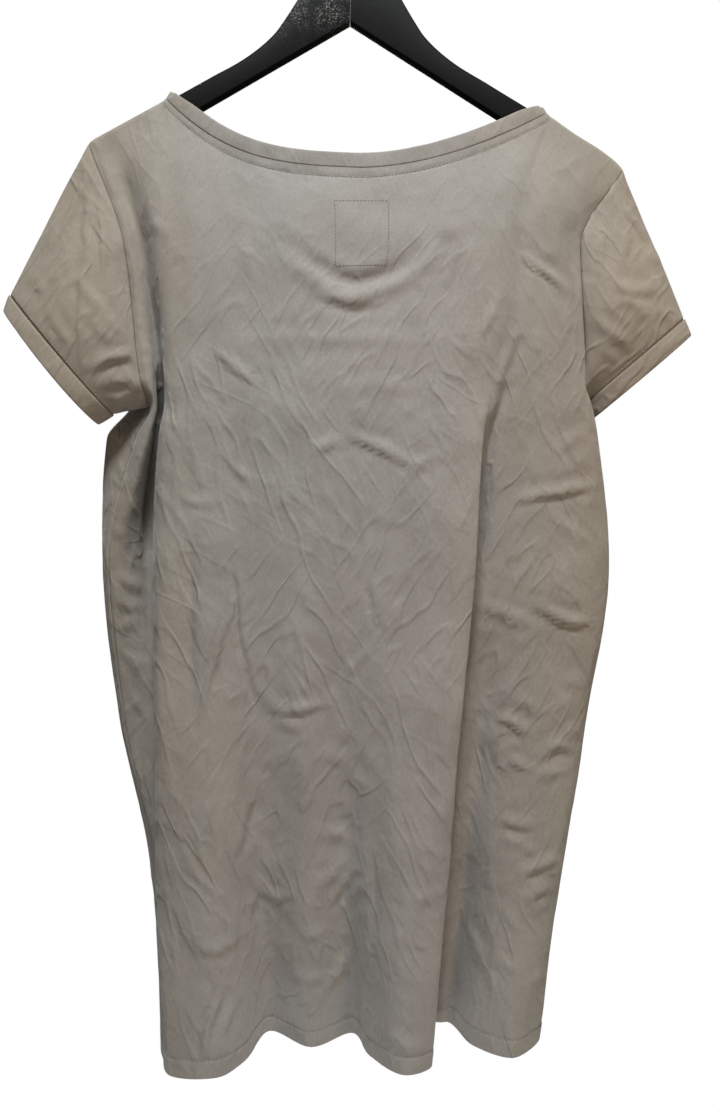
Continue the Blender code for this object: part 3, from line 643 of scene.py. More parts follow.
@dataclass(frozen=True)
class Thread:
    """Spun sewing thread, a little paler and smoother than the cloth."""

    name: str
    colour: Triple

    def material(self) -> bpy.types.Material:
        """The thread's material, with its twist.

        Returns:
            The material.
        """
        graph = Graph(bpy.data.materials.new(self.name))
        twist = graph.cloud((3000.0, 3000.0, 3000.0), 1.0)
        pale = tuple(1.3 * part for part in self.colour)
        return graph.dress(Base_Color=graph.blend(twist.ramp(0.3, 0.7), self.colour, pale),
                           Normal=graph.raised(twist, 0.06), Roughness=0.6, Sheen_Weight=0.2)


@dataclass(frozen=True)
class Lacquer:
    """Black lacquer on wood, rubbed glossier and speckled by the hook, where pale spots of painted highlight
    stand in for the light's reflection, and clean further out.
    """

    name: str
    colour: Triple
    # the next colour is the pale one of the painted highlight spots; then how strong the rubbed patch with its
    # painted highlight is, and between which heights it lies
    worn: Triple
    rub_and_glint: float
    rub_and_glint_top: float = -0.062
    rub_and_glint_foot: float = -0.150

    def material(self) -> bpy.types.Material:
        """The lacquer's material.

        Returns:
            The material.
        """
        graph = Graph(bpy.data.materials.new(self.name))
        near_hook = graph.part("Z").ramp(self.rub_and_glint_foot, self.rub_and_glint_top)
        speckle = graph.cloud((900.0, 900.0, 900.0), 3.0, 0.75)
        rub_and_glint_patches = graph.cloud((70.0, 70.0, 45.0), 3.0, 0.6)
        grain = graph.cloud((60.0, 900.0, 900.0), 3.0, 0.6)
        # where the lacquer is rubbed glossier near the hook, which also places the painted highlight
        worn = (near_hook * rub_and_glint_patches.ramp(0.3, 0.62) * self.rub_and_glint).clamped()
        # painted highlight: pale specks that stand in for the light's reflection in the lacquer
        painted_glints = (worn * speckle.ramp(0.5, 0.66)).clamped()
        colour = graph.blend(painted_glints, self.colour, self.worn)
        roughness = grain * 0.12 + speckle * 0.1 + 0.3 - worn * 0.12
        return graph.dress(Base_Color=colour, Roughness=roughness,
                           Normal=graph.raised(grain * 0.6 + speckle * 0.5 * worn, 0.08),
                           Specular_IOR_Level=0.06)


@dataclass(frozen=True)
class Chrome:
    """Bright drawn wire, finely scratched along its length and dulled by the rail."""

    name: str
    colour: Triple

    def material(self) -> bpy.types.Material:
        """The wire's material.

        Returns:
            The material.
        """
        graph = Graph(bpy.data.materials.new(self.name))
        scratch = graph.cloud((2500.0, 2500.0, 300.0), 3.0, 0.7)
        smudge = graph.cloud((60.0, 60.0, 60.0))
        dull = tuple(0.75 * part for part in self.colour)
        return graph.dress(Base_Color=graph.blend(smudge.ramp(0.4, 0.75) * 0.5, self.colour, dull),
                           Roughness=scratch * 0.14 + smudge * 0.14 + 0.06,
                           Normal=graph.raised(scratch, 0.015), Metallic=1.0)


@dataclass(frozen=True)
class Paper:
    """Plain pale paper for the floor, with a little light of its own so that its far side stays pale."""

    name: str
    colour: Triple
    glow: float

    def material(self) -> bpy.types.Material:
        """The floor's material.

        Returns:
            The material.
        """
        graph = Graph(bpy.data.materials.new(self.name))
        return graph.dress(Base_Color=self.colour, Roughness=0.9, Specular_IOR_Level=0.0,
                           Emission_Color=self.colour, Emission_Strength=self.glow)


def smooth_values(knots: Array, values: Array, places: Array) -> Array:
    """Monotone cubic through values given at falling or rising knots.

    Args:
        knots: where the values are given.
        values: a number or a row of numbers at each knot.
        places: where they are wanted.

    Returns:
        The values at the places.
    """
    knots, values, places = (np.asarray(item, float) for item in (knots, values, places))
    if knots[0] > knots[-1]:
        knots, values = knots[::-1], values[::-1]
    shape = (-1,) + (1,) * (values.ndim - 1)
    step = np.diff(knots).reshape(shape)
    rise = np.diff(values, axis=0) / step
    slope = np.zeros_like(values)
    same_way = rise[1:] * rise[:-1] > 0.0
    near, far = 2.0 * step[1:] + step[:-1], step[1:] + 2.0 * step[:-1]
    above, below = np.where(same_way, rise[:-1], 1.0), np.where(same_way, rise[1:], 1.0)
    slope[1:-1] = np.where(same_way, (near + far) / (near / above + far / below), 0.0)
    slope[0], slope[-1] = rise[0], rise[-1]
    i = np.clip(np.searchsorted(knots, places) - 1, 0, len(knots) - 2)
    t = (places - knots[i]).reshape(shape) / step[i]
    start, end = slope[i] * step[i], slope[i + 1] * step[i]
    return (values[i] * (2 * t**3 - 3 * t**2 + 1) + start * (t**3 - 2 * t**2 + t)
            + values[i + 1] * (3 * t**2 - 2 * t**3) + end * (t**3 - t**2))


def smooth_through(points: list, cells: list[int], before: Array, after: Array) -> Array:
    """Centripetal curve through points.

    Args:
        points: the points.
        cells: how many cells lie between each pair.
        before: the point ahead of the first.
        after: the point past the last.

    Returns:
        The points of the curve, first and last among them.
    """
    chain = np.array([before, *points, after], float)
    result = []
    for i, count in enumerate(cells):
        near, times = list(chain[i:i + 4]), [0.0]
        for p, q in zip(near, near[1:]):
            times.append(times[-1] + max(float(np.linalg.norm(q - p)), 1e-3) ** 0.5)
        time = (times[1] + (times[2] - times[1]) * np.arange(count) / count)[:, None]
        for spans in (((0, 1), (1, 2), (2, 3)), ((0, 2), (1, 3)), ((1, 2),)):
            near = [((times[end] - time) * p + (time - times[start]) * q) / (times[end] - times[start])
                    for (start, end), p, q in zip(spans, near, near[1:])]
        result += near
    result.append(chain[-2][None])
    return np.concatenate(result)


def unit(vectors: Array) -> Array:
    """Vectors scaled to length 1."""
    return vectors / np.maximum(np.linalg.norm(vectors, axis=-1, keepdims=True), 1e-9)


def step_between(low: float, high: float, values: Array) -> Array:
    """Smooth step from 0 at low to 1 at high."""
    t = np.clip((values - low) / (high - low), 0.0, 1.0)
    return t * t * (3.0 - 2.0 * t)


def fading(distance: Array, width: float) -> Array:
    """Round hump, 1 at no distance and less past its width."""
    return np.exp(-((distance / width) ** 2))


def travelled(points: Array, axis: int = 0) -> Array:
    """Distance from the first of an array's points along one of its axes."""
    steps = np.linalg.norm(np.diff(points, axis=axis), axis=-1)
    return np.concatenate([np.zeros_like(steps.take([0], axis)), np.cumsum(steps, axis=axis)], axis=axis)


def read_at(places: "float | Array", run: Array, values: Array) -> Array:
    """Vectors given along a run, read at places on it."""
    return np.array([np.interp(places, run, values[:, axis]) for axis in range(3)]).T


def surface_normals(points: Array, before: "Array | None" = None,
                    after: "Array | None" = None) -> Array:
    """Normals of rows of points, outwards where the columns run anticlockwise seen from above.

    Args:
        points: rows of points.
        before: the neighbour's column ahead of the first, or None where the rows close round.
        after: the neighbour's column past the last.

    Returns:
        A normal for each point.
    """
    down = np.gradient(points, axis=0)
    if before is None:
        return unit(np.cross(down, np.roll(points, -1, axis=1) - np.roll(points, 1, axis=1)))
    wide = np.concatenate([before[:, None], points, after[:, None]], axis=1)
    return unit(np.cross(down, wide[:, 2:] - wide[:, :-2]))


def soft_noise(points: Array, wavelength: float, seed: float, kind: Ripple = Ripple.CLOUDS) -> Array:
    """Noise read at points, from about -1 to 1.

    Args:
        points: the points, in millimetres.
        wavelength: the size of its clouds.
        seed: what shifts it from other noise.
        kind: the kind of noise.

    Returns:
        A value for each point.
    """
    flat = points.reshape(-1, 3) / wavelength
    if kind is Ripple.CLOUDS:
        values = [noise.noise(Vector((x + seed, y - seed, z + 2.0 * seed))) for x, y, z in flat]
    else:
        values = [noise.ridged_multi_fractal(Vector((x + seed, y - seed, z)), *RIDGE_SHAPE) - RIDGE_MEAN
                  for x, y, z in flat]
    return np.array(values).reshape(points.shape[:-1])


@dataclass(frozen=True)
class FoldLine:
    """A crest or trough that runs down a panel, with its places at each level."""

    name: str
    cells: int
    top_x: float
    lift: float
    places: tuple[Pair, ...]

    @classmethod
    def rows(cls, table: tuple) -> "list[FoldLine]":
        """The fold lines of a table."""
        return [cls(row[0], row[1] * FINENESS, row[2], row[3], row[4:]) for row in table]


@dataclass(frozen=True)
class Crease:
    """A soft ridge or trough in the cloth along its route, with a slight rim that ends in a thin tail."""

    width: float
    height: float
    lower_side: float
    route: list[Pair]
    rim: float = 0.35
    rim_place: float = 2.2
    end_height: float = 0.12
    tail: float = 0.7
    reach: float = 6.0
    cells: int = 4

    def raise_cloth(self, x: Array, z: Array) -> Array:
        """How far the crease lifts the cloth.

        Args:
            x: the places' x.
            z: the places' z.

        Returns:
            The lift at each place, in millimetres.
        """
        lift = np.zeros_like(x)
        points = [np.array(point, float) for point in self.route]
        before, after = 2.0 * points[0] - points[1], 2.0 * points[-1] - points[-2]
        path = smooth_through(points, [self.cells] * (len(points) - 1), before, after)
        reach = self.reach * self.width
        near = ((x > path[:, 0].min() - reach) & (x < path[:, 0].max() + reach)
                & (z > path[:, 1].min() - reach) & (z < path[:, 1].max() + reach))
        if not near.any():
            return lift
        here = np.stack([x[near], z[near]], axis=-1)
        starts, ways = path[:-1], np.diff(path, axis=0)
        lengths, run = np.linalg.norm(ways, axis=1), travelled(path)
        away = here[:, None] - starts
        along = np.clip(np.sum(away * ways, axis=2) / lengths**2, 0.0, 1.0)
        apart = away - along[..., None] * ways
        distance = np.linalg.norm(apart, axis=2)
        nearest = np.argmin(distance, axis=1)
        row = np.arange(len(here))
        turn = ways[nearest, 0] * apart[row, nearest, 1] - ways[nearest, 1] * apart[row, nearest, 0]
        share = (run[nearest] + along[row, nearest] * lengths[nearest]) / run[-1]
        side = distance[row, nearest] / np.where(turn > 0.0, self.width, self.width * self.lower_side)
        ridge = fading(side, 1.0) - self.rim * fading(side - self.rim_place, 1.0)
        fade = np.clip(np.sin(math.pi * np.clip(share, 0.0, 1.0)), 0.0, 1.0) ** self.tail
        lift[near] = self.height * ridge * (self.end_height + (1.0 - self.end_height) * fade)
        return lift


@dataclass
class Creases:
    """A set of creases, as they lie on one face of the cloth."""

    table: tuple
    gain: float = 1.0
    mirrored: bool = False
    shift_x: float = 0.0
    shift_z: float = 0.0
    seed: float = 3.0
    sway: float = 2.0
    sway_wave: float = 22.0
    slimming: float = 0.85
    least_upright: float = 2.2
    least_level: float = 6.0

    def relief(self, points: Array) -> Array:
        """How far all the creases lift the cloth, their routes a little uneven.

        Args:
            points: rows of points.

        Returns:
            The lift at each point.
        """
        sign = -1.0 if self.mirrored else 1.0
        sway_x, sway_z = (soft_noise(points, self.sway_wave, self.seed + shift) for shift in (0.0, 5.0))
        x = sign * points[..., 0] - self.shift_x + self.sway * sway_x
        z = points[..., 2] - self.shift_z + self.sway * sway_z
        lift = np.zeros_like(x)
        for width, height, lower_side, *route in self.table:
            run, fall = abs(route[-1][0] - route[0][0]), abs(route[-1][1] - route[0][1])
            least = self.least_upright + (self.least_level - self.least_upright) * run / (run + fall)
            lift += Crease(max(self.slimming * width, least), height, lower_side, route).raise_cloth(x, z)
        return self.gain * lift


def joined(piece: Piece, material: bpy.types.Material, slot: str, *nodes: str) -> Piece:
    """Dresses a piece, fixes it to the body and reports it.

    Args:
        piece: the piece.
        material: its material.
        slot: not used.
        nodes: the solids that it stands for.

    Returns:
        The piece.
    """
    piece.data.materials.clear()
    piece.data.materials.append(material)
    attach(piece, BODY)
    if nodes:
        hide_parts(*nodes)
    LOG.info("%s: %d faces", piece.name, len(piece.data.polygons))
    return piece


def object_from(name: str, mesh: bmesh.types.BMesh) -> Piece:
    """Makes an object of a finished mesh.

    Args:
        name: the piece's name.
        mesh: the mesh, which is freed.

    Returns:
        The object, smooth all over.
    """
    data = bpy.data.meshes.new(name)
    mesh.to_mesh(data)
    mesh.free()
    data.shade_smooth()
    piece = bpy.data.objects.new(name, data)
    bpy.context.scene.collection.objects.link(piece)
    return piece


def knitted(name: str, points: Array, around: bool = False, looped: bool = False) -> Piece:
    """A sheet of cloth through rows of points, with a UV map in metres along and across its wales.

    Args:
        name: the piece's name.
        points: rows of points, in millimetres.
        around: whether each row closes round.
        looped: whether the last row joins the first.

    Returns:
        The object, its faces turned outwards by its volume or the order of its points.
    """
    rows, columns = points.shape[:2]
    spans = columns if around else columns - 1
    steps = rows if looped else rows - 1
    mesh = bmesh.new()
    mesh.loops.layers.uv.new("knit")
    bmesh.ops.create_grid(mesh, x_segments=spans, y_segments=steps, size=1.0, calc_uvs=True)
    for closes, axis in ((around, 0), (looped, 1)):
        if closes:
            other = 1 - axis
            first = {round(v.co[other], 5): v for v in mesh.verts if v.co[axis] < -0.99999}
            last = [v for v in mesh.verts if v.co[axis] > 0.99999]
            bmesh.ops.weld_verts(mesh, targetmap={v: first[round(v.co[other], 5)] for v in last})
    piece = object_from(name, mesh)
    data = piece.data
    flat = np.empty(len(data.vertices) * 3)
    data.vertices.foreach_get("co", flat)
    flat = flat.reshape(-1, 3)
    column = np.rint((flat[:, 0] + 1.0) / 2.0 * spans).astype(int) % columns
    row = np.rint((1.0 - flat[:, 1]) / 2.0 * steps).astype(int) % rows
    data.vertices.foreach_set("co", (points[row, column] * MM).ravel())
    wrapped = np.concatenate([points, points[:, :1]], axis=1) if around else points
    widths = np.linalg.norm(np.diff(wrapped, axis=1), axis=2).mean(axis=0)
    deep = np.concatenate([wrapped, wrapped[:1]], axis=0) if looped else wrapped
    depths = np.linalg.norm(np.diff(deep, axis=0), axis=2).mean(axis=1)
    across = np.concatenate([[0.0], np.cumsum(widths)]) * MM
    rise = np.concatenate([np.cumsum(depths[::-1])[::-1], [0.0]]) * MM
    uv = np.empty(len(data.loops) * 2)
    data.uv_layers[0].data.foreach_get("uv", uv)
    uv = uv.reshape(-1, 2)
    uv[:, 0] = np.interp(uv[:, 0] * spans, np.arange(spans + 1), across)
    uv[:, 1] = np.interp((1.0 - uv[:, 1]) * steps, np.arange(steps + 1), rise)
    data.uv_layers[0].data.foreach_set("uv", uv.ravel())
    data.update()
    return piece


def lined(piece: Piece, wall: float, outwards: Array) -> Piece:
    """Turns a sheet's faces outwards and gives it its thickness.

    Args:
        piece: the sheet.
        wall: the cloth's thickness, in millimetres.
        outwards: the way that its first face has to look.

    Returns:
        The piece.
    """
    if np.dot(np.array(piece.data.polygons[0].normal), outwards) < 0.0:
        piece.data.flip_normals()
    shell = piece.modifiers.new("cloth", "SOLIDIFY")
    shell.thickness = wall * MM
    shell.offset = -1.0
    return piece


def turned_out(piece: Piece) -> Piece:
    """Turns a closed piece's faces outwards.

    Args:
        piece: the piece.

    Returns:
        The piece.
    """
    mesh = bmesh.new()
    mesh.from_mesh(piece.data)
    if mesh.calc_volume(signed=True) < 0.0:
        piece.data.flip_normals()
    mesh.free()
    return piece


@dataclass
class Hanger:
    """The wooden hanger in two arms, and its wire hook."""

    lacquer: Lacquer
    plain_lacquer: Lacquer
    chrome: Chrome
    gap: float = 0.3
    span: float = 450.0
    thickness: float = 10.0
    tilt: float = math.radians(1.2)
    apex_z: float = -122.0
    under_slope: float = 0.609
    top_x: float = 148.0
    top_z: float = -187.5
    top_slope: float = 0.575
    top_round: float = 4.4
    edge_round: float = 1.5
    end_round: float = 12.0
    wire: float = 3.8
    loop_radius: float = 20.0
    tip_turn: float = -15.0
    sweep: float = 225.0
    bend_steps: int = 64
    stem: float = 8.0
    rim_round: float = 0.35
    slices: int = 90
    end_slices: int = 13
    last_end_turn: float = 84.0
    corner_turns: int = 8
    sharp_from: float = math.radians(50.0)

    def tilted(self, x: "float | Array", z: "float | Array") -> tuple:
        """A place on the hanger turned with its tilt about the hook."""
        cosine, sine = math.cos(self.tilt), math.sin(self.tilt)
        return x * cosine + z * sine, z * cosine - x * sine

    def section(self, x: float, low: float, high: float) -> list[Triple]:
        """One upright slice of the wood, round along its top.

        Args:
            x: where it is cut, with its side's sign.
            low: its underside.
            high: its top.

        Returns:
            Points round the slice.
        """
        half = self.thickness / 2.0
        top = min(self.top_round, 0.45 * (high - low))
        edge = min(self.edge_round, 0.2 * (high - low))
        outline = []
        for step in range(self.corner_turns // 2 + 1):
            turn = math.pi / self.corner_turns * step
            outline.append((half - edge + edge * math.sin(turn), low + edge - edge * math.cos(turn)))
        for step in range(self.corner_turns + 1):
            turn = math.pi / 2.0 / self.corner_turns * step
            outline.append((half - top + top * math.cos(turn), high - top + top * math.sin(turn)))
        outline += [(-y, z) for y, z in reversed(outline)]
        return [(self.tilted(x, z)[0], y, self.tilted(x, z)[1]) for y, z in outline]

    def arm(self, side: Side) -> Piece:
        """Lofts one arm from the joint in the middle to its rounded end.

        Args:
            side: which arm.

        Returns:
            The arm.
        """
        end = self.span / 2.0
        straight = np.linspace(self.gap / 2.0, end - self.end_round, self.slices)
        turns = np.radians(np.linspace(0.0, self.last_end_turn, self.end_slices + 1)[1:])
        places = np.concatenate([straight, end - self.end_round * (1.0 - np.sin(turns))])
        hump_x = [point[0] for point in HUMP] + [self.top_x, end]
        hump_z = [point[1] for point in HUMP] + [self.top_z, self.top_z - self.top_slope * (end - self.top_x)]
        tops = smooth_values(hump_x, hump_z, places)
        rings = []
        for x, high in zip(places, tops):
            low = self.apex_z - self.under_slope * x
            past = max(0.0, x - (end - self.end_round)) / self.end_round
            middle, half = 0.5 * (low + high), 0.5 * (high - low) * math.sqrt(1.0 - past * past)
            rings.append(self.section(side.value * x, middle - half, middle + half))
        mesh = bmesh.new()
        points = np.array(rings)
        around = points.shape[1]
        bmesh.ops.create_grid(mesh, x_segments=around, y_segments=len(rings) - 1, size=1.0)
        for vertex in mesh.verts:
            column = round((vertex.co.x + 1.0) / 2.0 * around) % around
            vertex.co = points[round((1.0 - vertex.co.y) / 2.0 * (len(rings) - 1)), column] * MM
        bmesh.ops.remove_doubles(mesh, verts=mesh.verts, dist=1e-7)
        bmesh.ops.holes_fill(mesh, edges=[edge for edge in mesh.edges if edge.is_boundary], sides=0)
        bmesh.ops.recalc_face_normals(mesh, faces=mesh.faces)
        name = f"hanger_arm_{side.word}"
        piece = object_from(f"{name}_wood", mesh)
        piece.data.set_sharp_from_angle(angle=self.sharp_from)
        # the left arm's lacquer carries pale painted highlight spots by the hook
        finish = self.lacquer if side is Side.LEFT else self.plain_lacquer
        return joined(turned_out(piece), finish.material(), name, name)

    def hook(self) -> Piece:
        """Bends the wire over the rail and down its stem to the top of the wood.

        Returns:
            The hook.
        """
        radius = self.loop_radius + self.wire / 2.0
        stem_foot = HUMP[0][1] + self.gap
        turns = np.radians(self.tip_turn + self.sweep * np.arange(self.bend_steps + 1) / self.bend_steps)
        route = list(zip(-radius * np.cos(turns), radius * np.sin(turns) - self.loop_radius))
        start_x, start_z = route[-1]
        for share in np.linspace(0.0, 1.0, self.bend_steps // 4)[1:]:
            ease = share * share * (3.0 - 2.0 * share)
            route.append((start_x * (1.0 - ease), start_z + (stem_foot + self.stem - start_z) * share))
        route.append((0.0, stem_foot))
        curve = bpy.data.curves.new("hook_route", "CURVE")
        curve.dimensions = "3D"
        curve.bevel_depth = self.wire / 2.0 * MM
        curve.bevel_resolution = 6
        curve.use_fill_caps = True
        spline = curve.splines.new("POLY")
        spline.points.add(len(route) - 1)
        for point, (x, z) in zip(spline.points, route):
            turned_x, turned_z = self.tilted(x, z)
            point.co = (turned_x * MM, 0.0, turned_z * MM, 1.0)
        bent = bpy.data.objects.new("hook_route", curve)
        mesh = bmesh.new()
        mesh.from_mesh(bent.to_mesh())
        bmesh.ops.remove_doubles(mesh, verts=mesh.verts, dist=1e-7)
        rims = [edge for edge in mesh.edges if len(edge.link_faces) == 2 and edge.calc_face_angle() > 1.0]
        bmesh.ops.bevel(mesh, geom=rims, offset=self.rim_round * MM, offset_type="OFFSET", affect="EDGES",
                        segments=3, profile=0.5, material=-1)
        bpy.data.objects.remove(bent)
        bpy.data.curves.remove(curve)
        piece = object_from("hanger_hook_wire", mesh)
        return joined(turned_out(piece), self.chrome.material(), "hanger_hook", "hanger_hook")

    def make(self) -> None:
        """Builds both arms and the hook."""
        for side in Side:
            self.arm(side)
        self.hook()


@dataclass
class Neckline:
    """The line on which the cloth hangs over the hanger: its shoulders, and the scooped neck between them."""

    hanger: Hanger
    wall: float = 1.5
    clear: float = 0.6
    left_x: float = -168.0
    right_x: float = 175.0
    fullness_left: float = 3.0
    fullness_right: float = 1.75
    lift_right: float = 2.5
    lift_reach: float = 16.0
    droop_start: float = 214.0
    droop: float = 0.0062
    turns: tuple[float, ...] = (0.0, 15.0, 30.0, 45.0, 60.0, 75.0, 90.0)

    def on_neck(self, x: "float | Array") -> "bool | Array":
        """Whether x lies between the two neck points."""
        return (x > self.left_x) & (x < self.right_x)

    def along(self, x: float) -> float:
        """Where x lies across the neck, from -1 at its left point to 1 at its right one."""
        return (2.0 * x - self.right_x - self.left_x) / (self.right_x - self.left_x)

    def shoulder_z(self, x: float) -> float:
        """Height of the cloth's outer side where it crosses the top of the hanger's arm.

        Args:
            x: where.

        Returns:
            The height.
        """
        side = 1.0 if x > 0.0 else -1.0
        anchor_x, anchor_z = self.hanger.tilted(side * self.hanger.top_x, self.hanger.top_z)
        slope = math.tan(math.atan(self.hanger.top_slope) + side * self.hanger.tilt)
        height = anchor_z - slope * (abs(x) - abs(anchor_x)) + self.clear + self.wall
        if side > 0.0:
            height += self.lift_right * math.exp(-((x - self.right_x) / self.lift_reach) ** 2)
            height -= self.droop * max(0.0, x - self.droop_start) ** 2
        return height

    def neck_z(self, x: float, drop: float) -> float:
        """Height of the neckline seam, which falls from one neck point to the other.

        Args:
            x: where.
            drop: how far it falls.

        Returns:
            The height.
        """
        along = self.along(x)
        left_z, right_z = self.shoulder_z(self.left_x), self.shoulder_z(self.right_x)
        chord = left_z + (right_z - left_z) * (along + 1.0) / 2.0
        fullness = self.fullness_left if along < 0.0 else self.fullness_right
        return chord - drop * max(0.0, 1.0 - abs(along) ** fullness)

    def top_rows(self, x: float, drop: float, bow: float, way: Way) -> list[Triple]:
        """The first points of one column, from its seam down round the hanger's arm.

        Args:
            x: the column's x.
            drop: how far the neck falls on this panel.
            bow: how far the neck stands away from the hanger.
            way: the panel's way.

        Returns:
            A point for each turn.
        """
        out = self.hanger.thickness / 2.0 + self.clear + self.wall
        corner = self.hanger.top_round + self.clear + self.wall
        shoulder = self.shoulder_z(x)
        seam_z = self.neck_z(x, drop) if self.on_neck(x) else shoulder
        along = self.along(x)
        hang = bow * max(0.0, 1.0 - along * along)
        half_gap = self.hanger.gap / 2.0
        rows = []
        for turn in self.turns:
            z = seam_z - corner * (1.0 - math.cos(math.radians(turn)))
            depth = min(max(shoulder - z, 0.0), corner)
            round_the_arm = math.sqrt(max(0.0, 1.0 - (1.0 - depth / corner) ** 2))
            rows.append((x, way.value * (half_gap + (out - half_gap) * round_the_arm + hang), z))
        return rows

    def shoulder_normal(self, x: float) -> Array:
        """Outward normal on the shoulder seam, square to the hanger's arm."""
        return unit(np.array([-(self.shoulder_z(x + 1.0) - self.shoulder_z(x - 1.0)) / 2.0, 0.0, 1.0]))


@dataclass
class Panel:
    """The back or the front of the dress, as rows of points down from its shoulders and neck."""

    name: str
    way: Way
    lines: list[FoldLine]
    neck: tuple[str, str, str, str]
    neck_drop: float
    neck_bow: float
    neckline: Neckline
    hem_fine: float = 20.0
    hem_step: float = 1.1 / 3.4
    closing_up: float = 1.3
    points: Array = field(init=False)
    normals: Array = field(init=False)
    seam_shifts: list[tuple[int, Array]] = field(init=False)

    def top_places(self) -> list[float]:
        """Top x of every column, even between lines and closing up to the neck points.

        Returns:
            The places.
        """
        places = []
        for line, following in zip(self.lines, self.lines[1:]):
            parts = np.arange(line.cells) / line.cells
            if (line.name, following.name) == self.neck[0:2]:
                parts = parts**2
            if (line.name, following.name) == self.neck[2:4]:
                parts = 1.0 - (1.0 - parts) ** 2
            places += list(line.top_x + (following.top_x - line.top_x) * parts)
        return places + [self.lines[-1].top_x]

    def level_rows(self, level: int) -> int:
        """How many rows there are from the level above down to this one."""
        return max(1, round(((SHOULDER_Z, *LEVELS)[level] - LEVELS[level]) / ROW_STEP))

    def underarm_row(self) -> int:
        """The row at which the armholes end and the side seams start."""
        return len(self.neckline.turns) - 1 + sum(map(self.level_rows, range(UNDERARM + 1)))

    def heights(self, top: float) -> Array:
        """Heights of a column's rows below the hanger's arm, closer together by the neck and the hem.

        Args:
            top: where the column leaves the arm.

        Returns:
            The heights.
        """
        *uppers, hem = LEVELS
        counts = [self.level_rows(level) for level in range(len(uppers))]
        shares = [np.arange(1, count + 1) / count for count in counts]
        shares[0] = shares[0] ** self.closing_up
        heights = [high + (low - high) * share for high, low, share in zip((top, *uppers), uppers, shares)]
        count = max(1, round((uppers[-1] - hem - self.hem_fine) / ROW_STEP))
        coarse = np.linspace(uppers[-1], hem + self.hem_fine, count, endpoint=False)[1:]
        fine = np.arange(self.hem_fine, 0.0, -self.hem_step * ROW_STEP)
        return np.concatenate([*heights, coarse, hem + fine, [hem]])

    def lay_out(self, other: "Panel") -> None:
        """Works out the outer side's points.

        Args:
            other: the panel on the other side, which shares the side seams.
        """
        cells = [line.cells for line in self.lines[:-1]]
        levels = []
        for level in range(len(LEVELS)):
            points = [np.array(line.places[level], float) for line in self.lines]
            if level >= UNDERARM:
                before, after = (np.array(other.lines[i].places[level], float) for i in (-2, 1))
            else:
                before, after = 2.0 * points[0] - points[1], 2.0 * points[-1] - points[-2]
            levels.append(smooth_through(points, cells, before, after))
        starts = np.cumsum([0] + cells)
        lifts = smooth_values(starts, [line.lift for line in self.lines], np.arange(starts[-1] + 1))
        columns = []
        for column, x in enumerate(self.top_places()):
            rows = self.neckline.top_rows(x, self.neck_drop, self.neck_bow, self.way)
            top = rows[-1][2]
            heights = self.heights(top)
            values = [rows[-1][:2]] + [points[column] for points in levels]
            places = smooth_values([top, *LEVELS], values, heights)
            share = np.maximum(0.0, (LEVELS[-2] - heights) / (LEVELS[-2] - LEVELS[-1]))
            lower = np.column_stack([places, heights + lifts[column] * share**2])
            columns.append(np.concatenate([rows, lower]))
        self.points = np.array(columns).transpose(1, 0, 2)

    def face_out(self, other: "Panel", gap: float) -> None:
        """Works out the normals, and parts the side seams.

        Args:
            other: the panel on the other side.
            gap: between the two panels at the seams.
        """
        surface, row = self.points.copy(), self.underarm_row()
        before = 2.0 * surface[:, 0] - surface[:, 1]
        after = 2.0 * surface[:, -1] - surface[:, -2]
        before[row:] = other.points[row:, -2]
        after[row:] = other.points[row:, 1]
        self.normals = surface_normals(surface, before, after)
        for column in range(surface.shape[1]):
            if not self.neckline.on_neck(surface[0, column, 0]):
                self.normals[0, column] = self.neckline.shoulder_normal(surface[0, column, 0])
        self.seam_shifts = [(edge, unit(surface[:, inward] - surface[:, edge]) * gap / 2.0)
                            for edge, inward in ((0, 1), (-1, -2))]

    def part_seams(self) -> None:
        """Moves both side seams in by half of their gap."""
        row = self.underarm_row()
        for edge, shift in self.seam_shifts:
            self.points[row:, edge] += shift[row:]

    def from_edges(self) -> Array:
        """Distance of each point from the nearer side seam or armhole, along its row."""
        run = travelled(self.points, 1)
        return np.minimum(run, run[:, -1:] - run)

    def from_top(self) -> Array:
        """Distance of each point from the neck or shoulder seam, down its column."""
        return travelled(self.points)

    def from_hem(self) -> Array:
        """Distance of each point from the hem's edge, up its column."""
        top = self.from_top()
        return top[-1:] - top


# small unplanned waves of the cloth: wavelength and height of its folds, its waves and its ripples, what the
# folds gain down the body and between which heights, and the share at which upright lengths count for folds
# and waves, which draws them out
FOLDS = (46.0, 0.25)
WAVES = (70.0, 1.3)
RIPPLES = (15.0, 0.22)
FOLDS_GAIN = 0.35
GAIN_FROM = (-420.0, -900.0)
UPRIGHT = 0.62


def crumple(points: Array, seed: float) -> Array:
    """Small unplanned waves of the cloth.

    Args:
        points: the places, in millimetres.
        seed: what sets this piece apart.

    Returns:
        The lift at each place.
    """
    hanging = points * np.array([1.0, 1.0, UPRIGHT])
    low = step_between(*GAIN_FROM, points[..., 2])
    folds = soft_noise(hanging, FOLDS[0], seed, Ripple.RIDGES) * (FOLDS[1] + FOLDS_GAIN * low)
    waves = soft_noise(hanging, WAVES[0], seed + 9.0) * WAVES[1]
    ripples = soft_noise(points, RIPPLES[0], seed + 4.0) * RIPPLES[1]
    return folds + waves + ripples


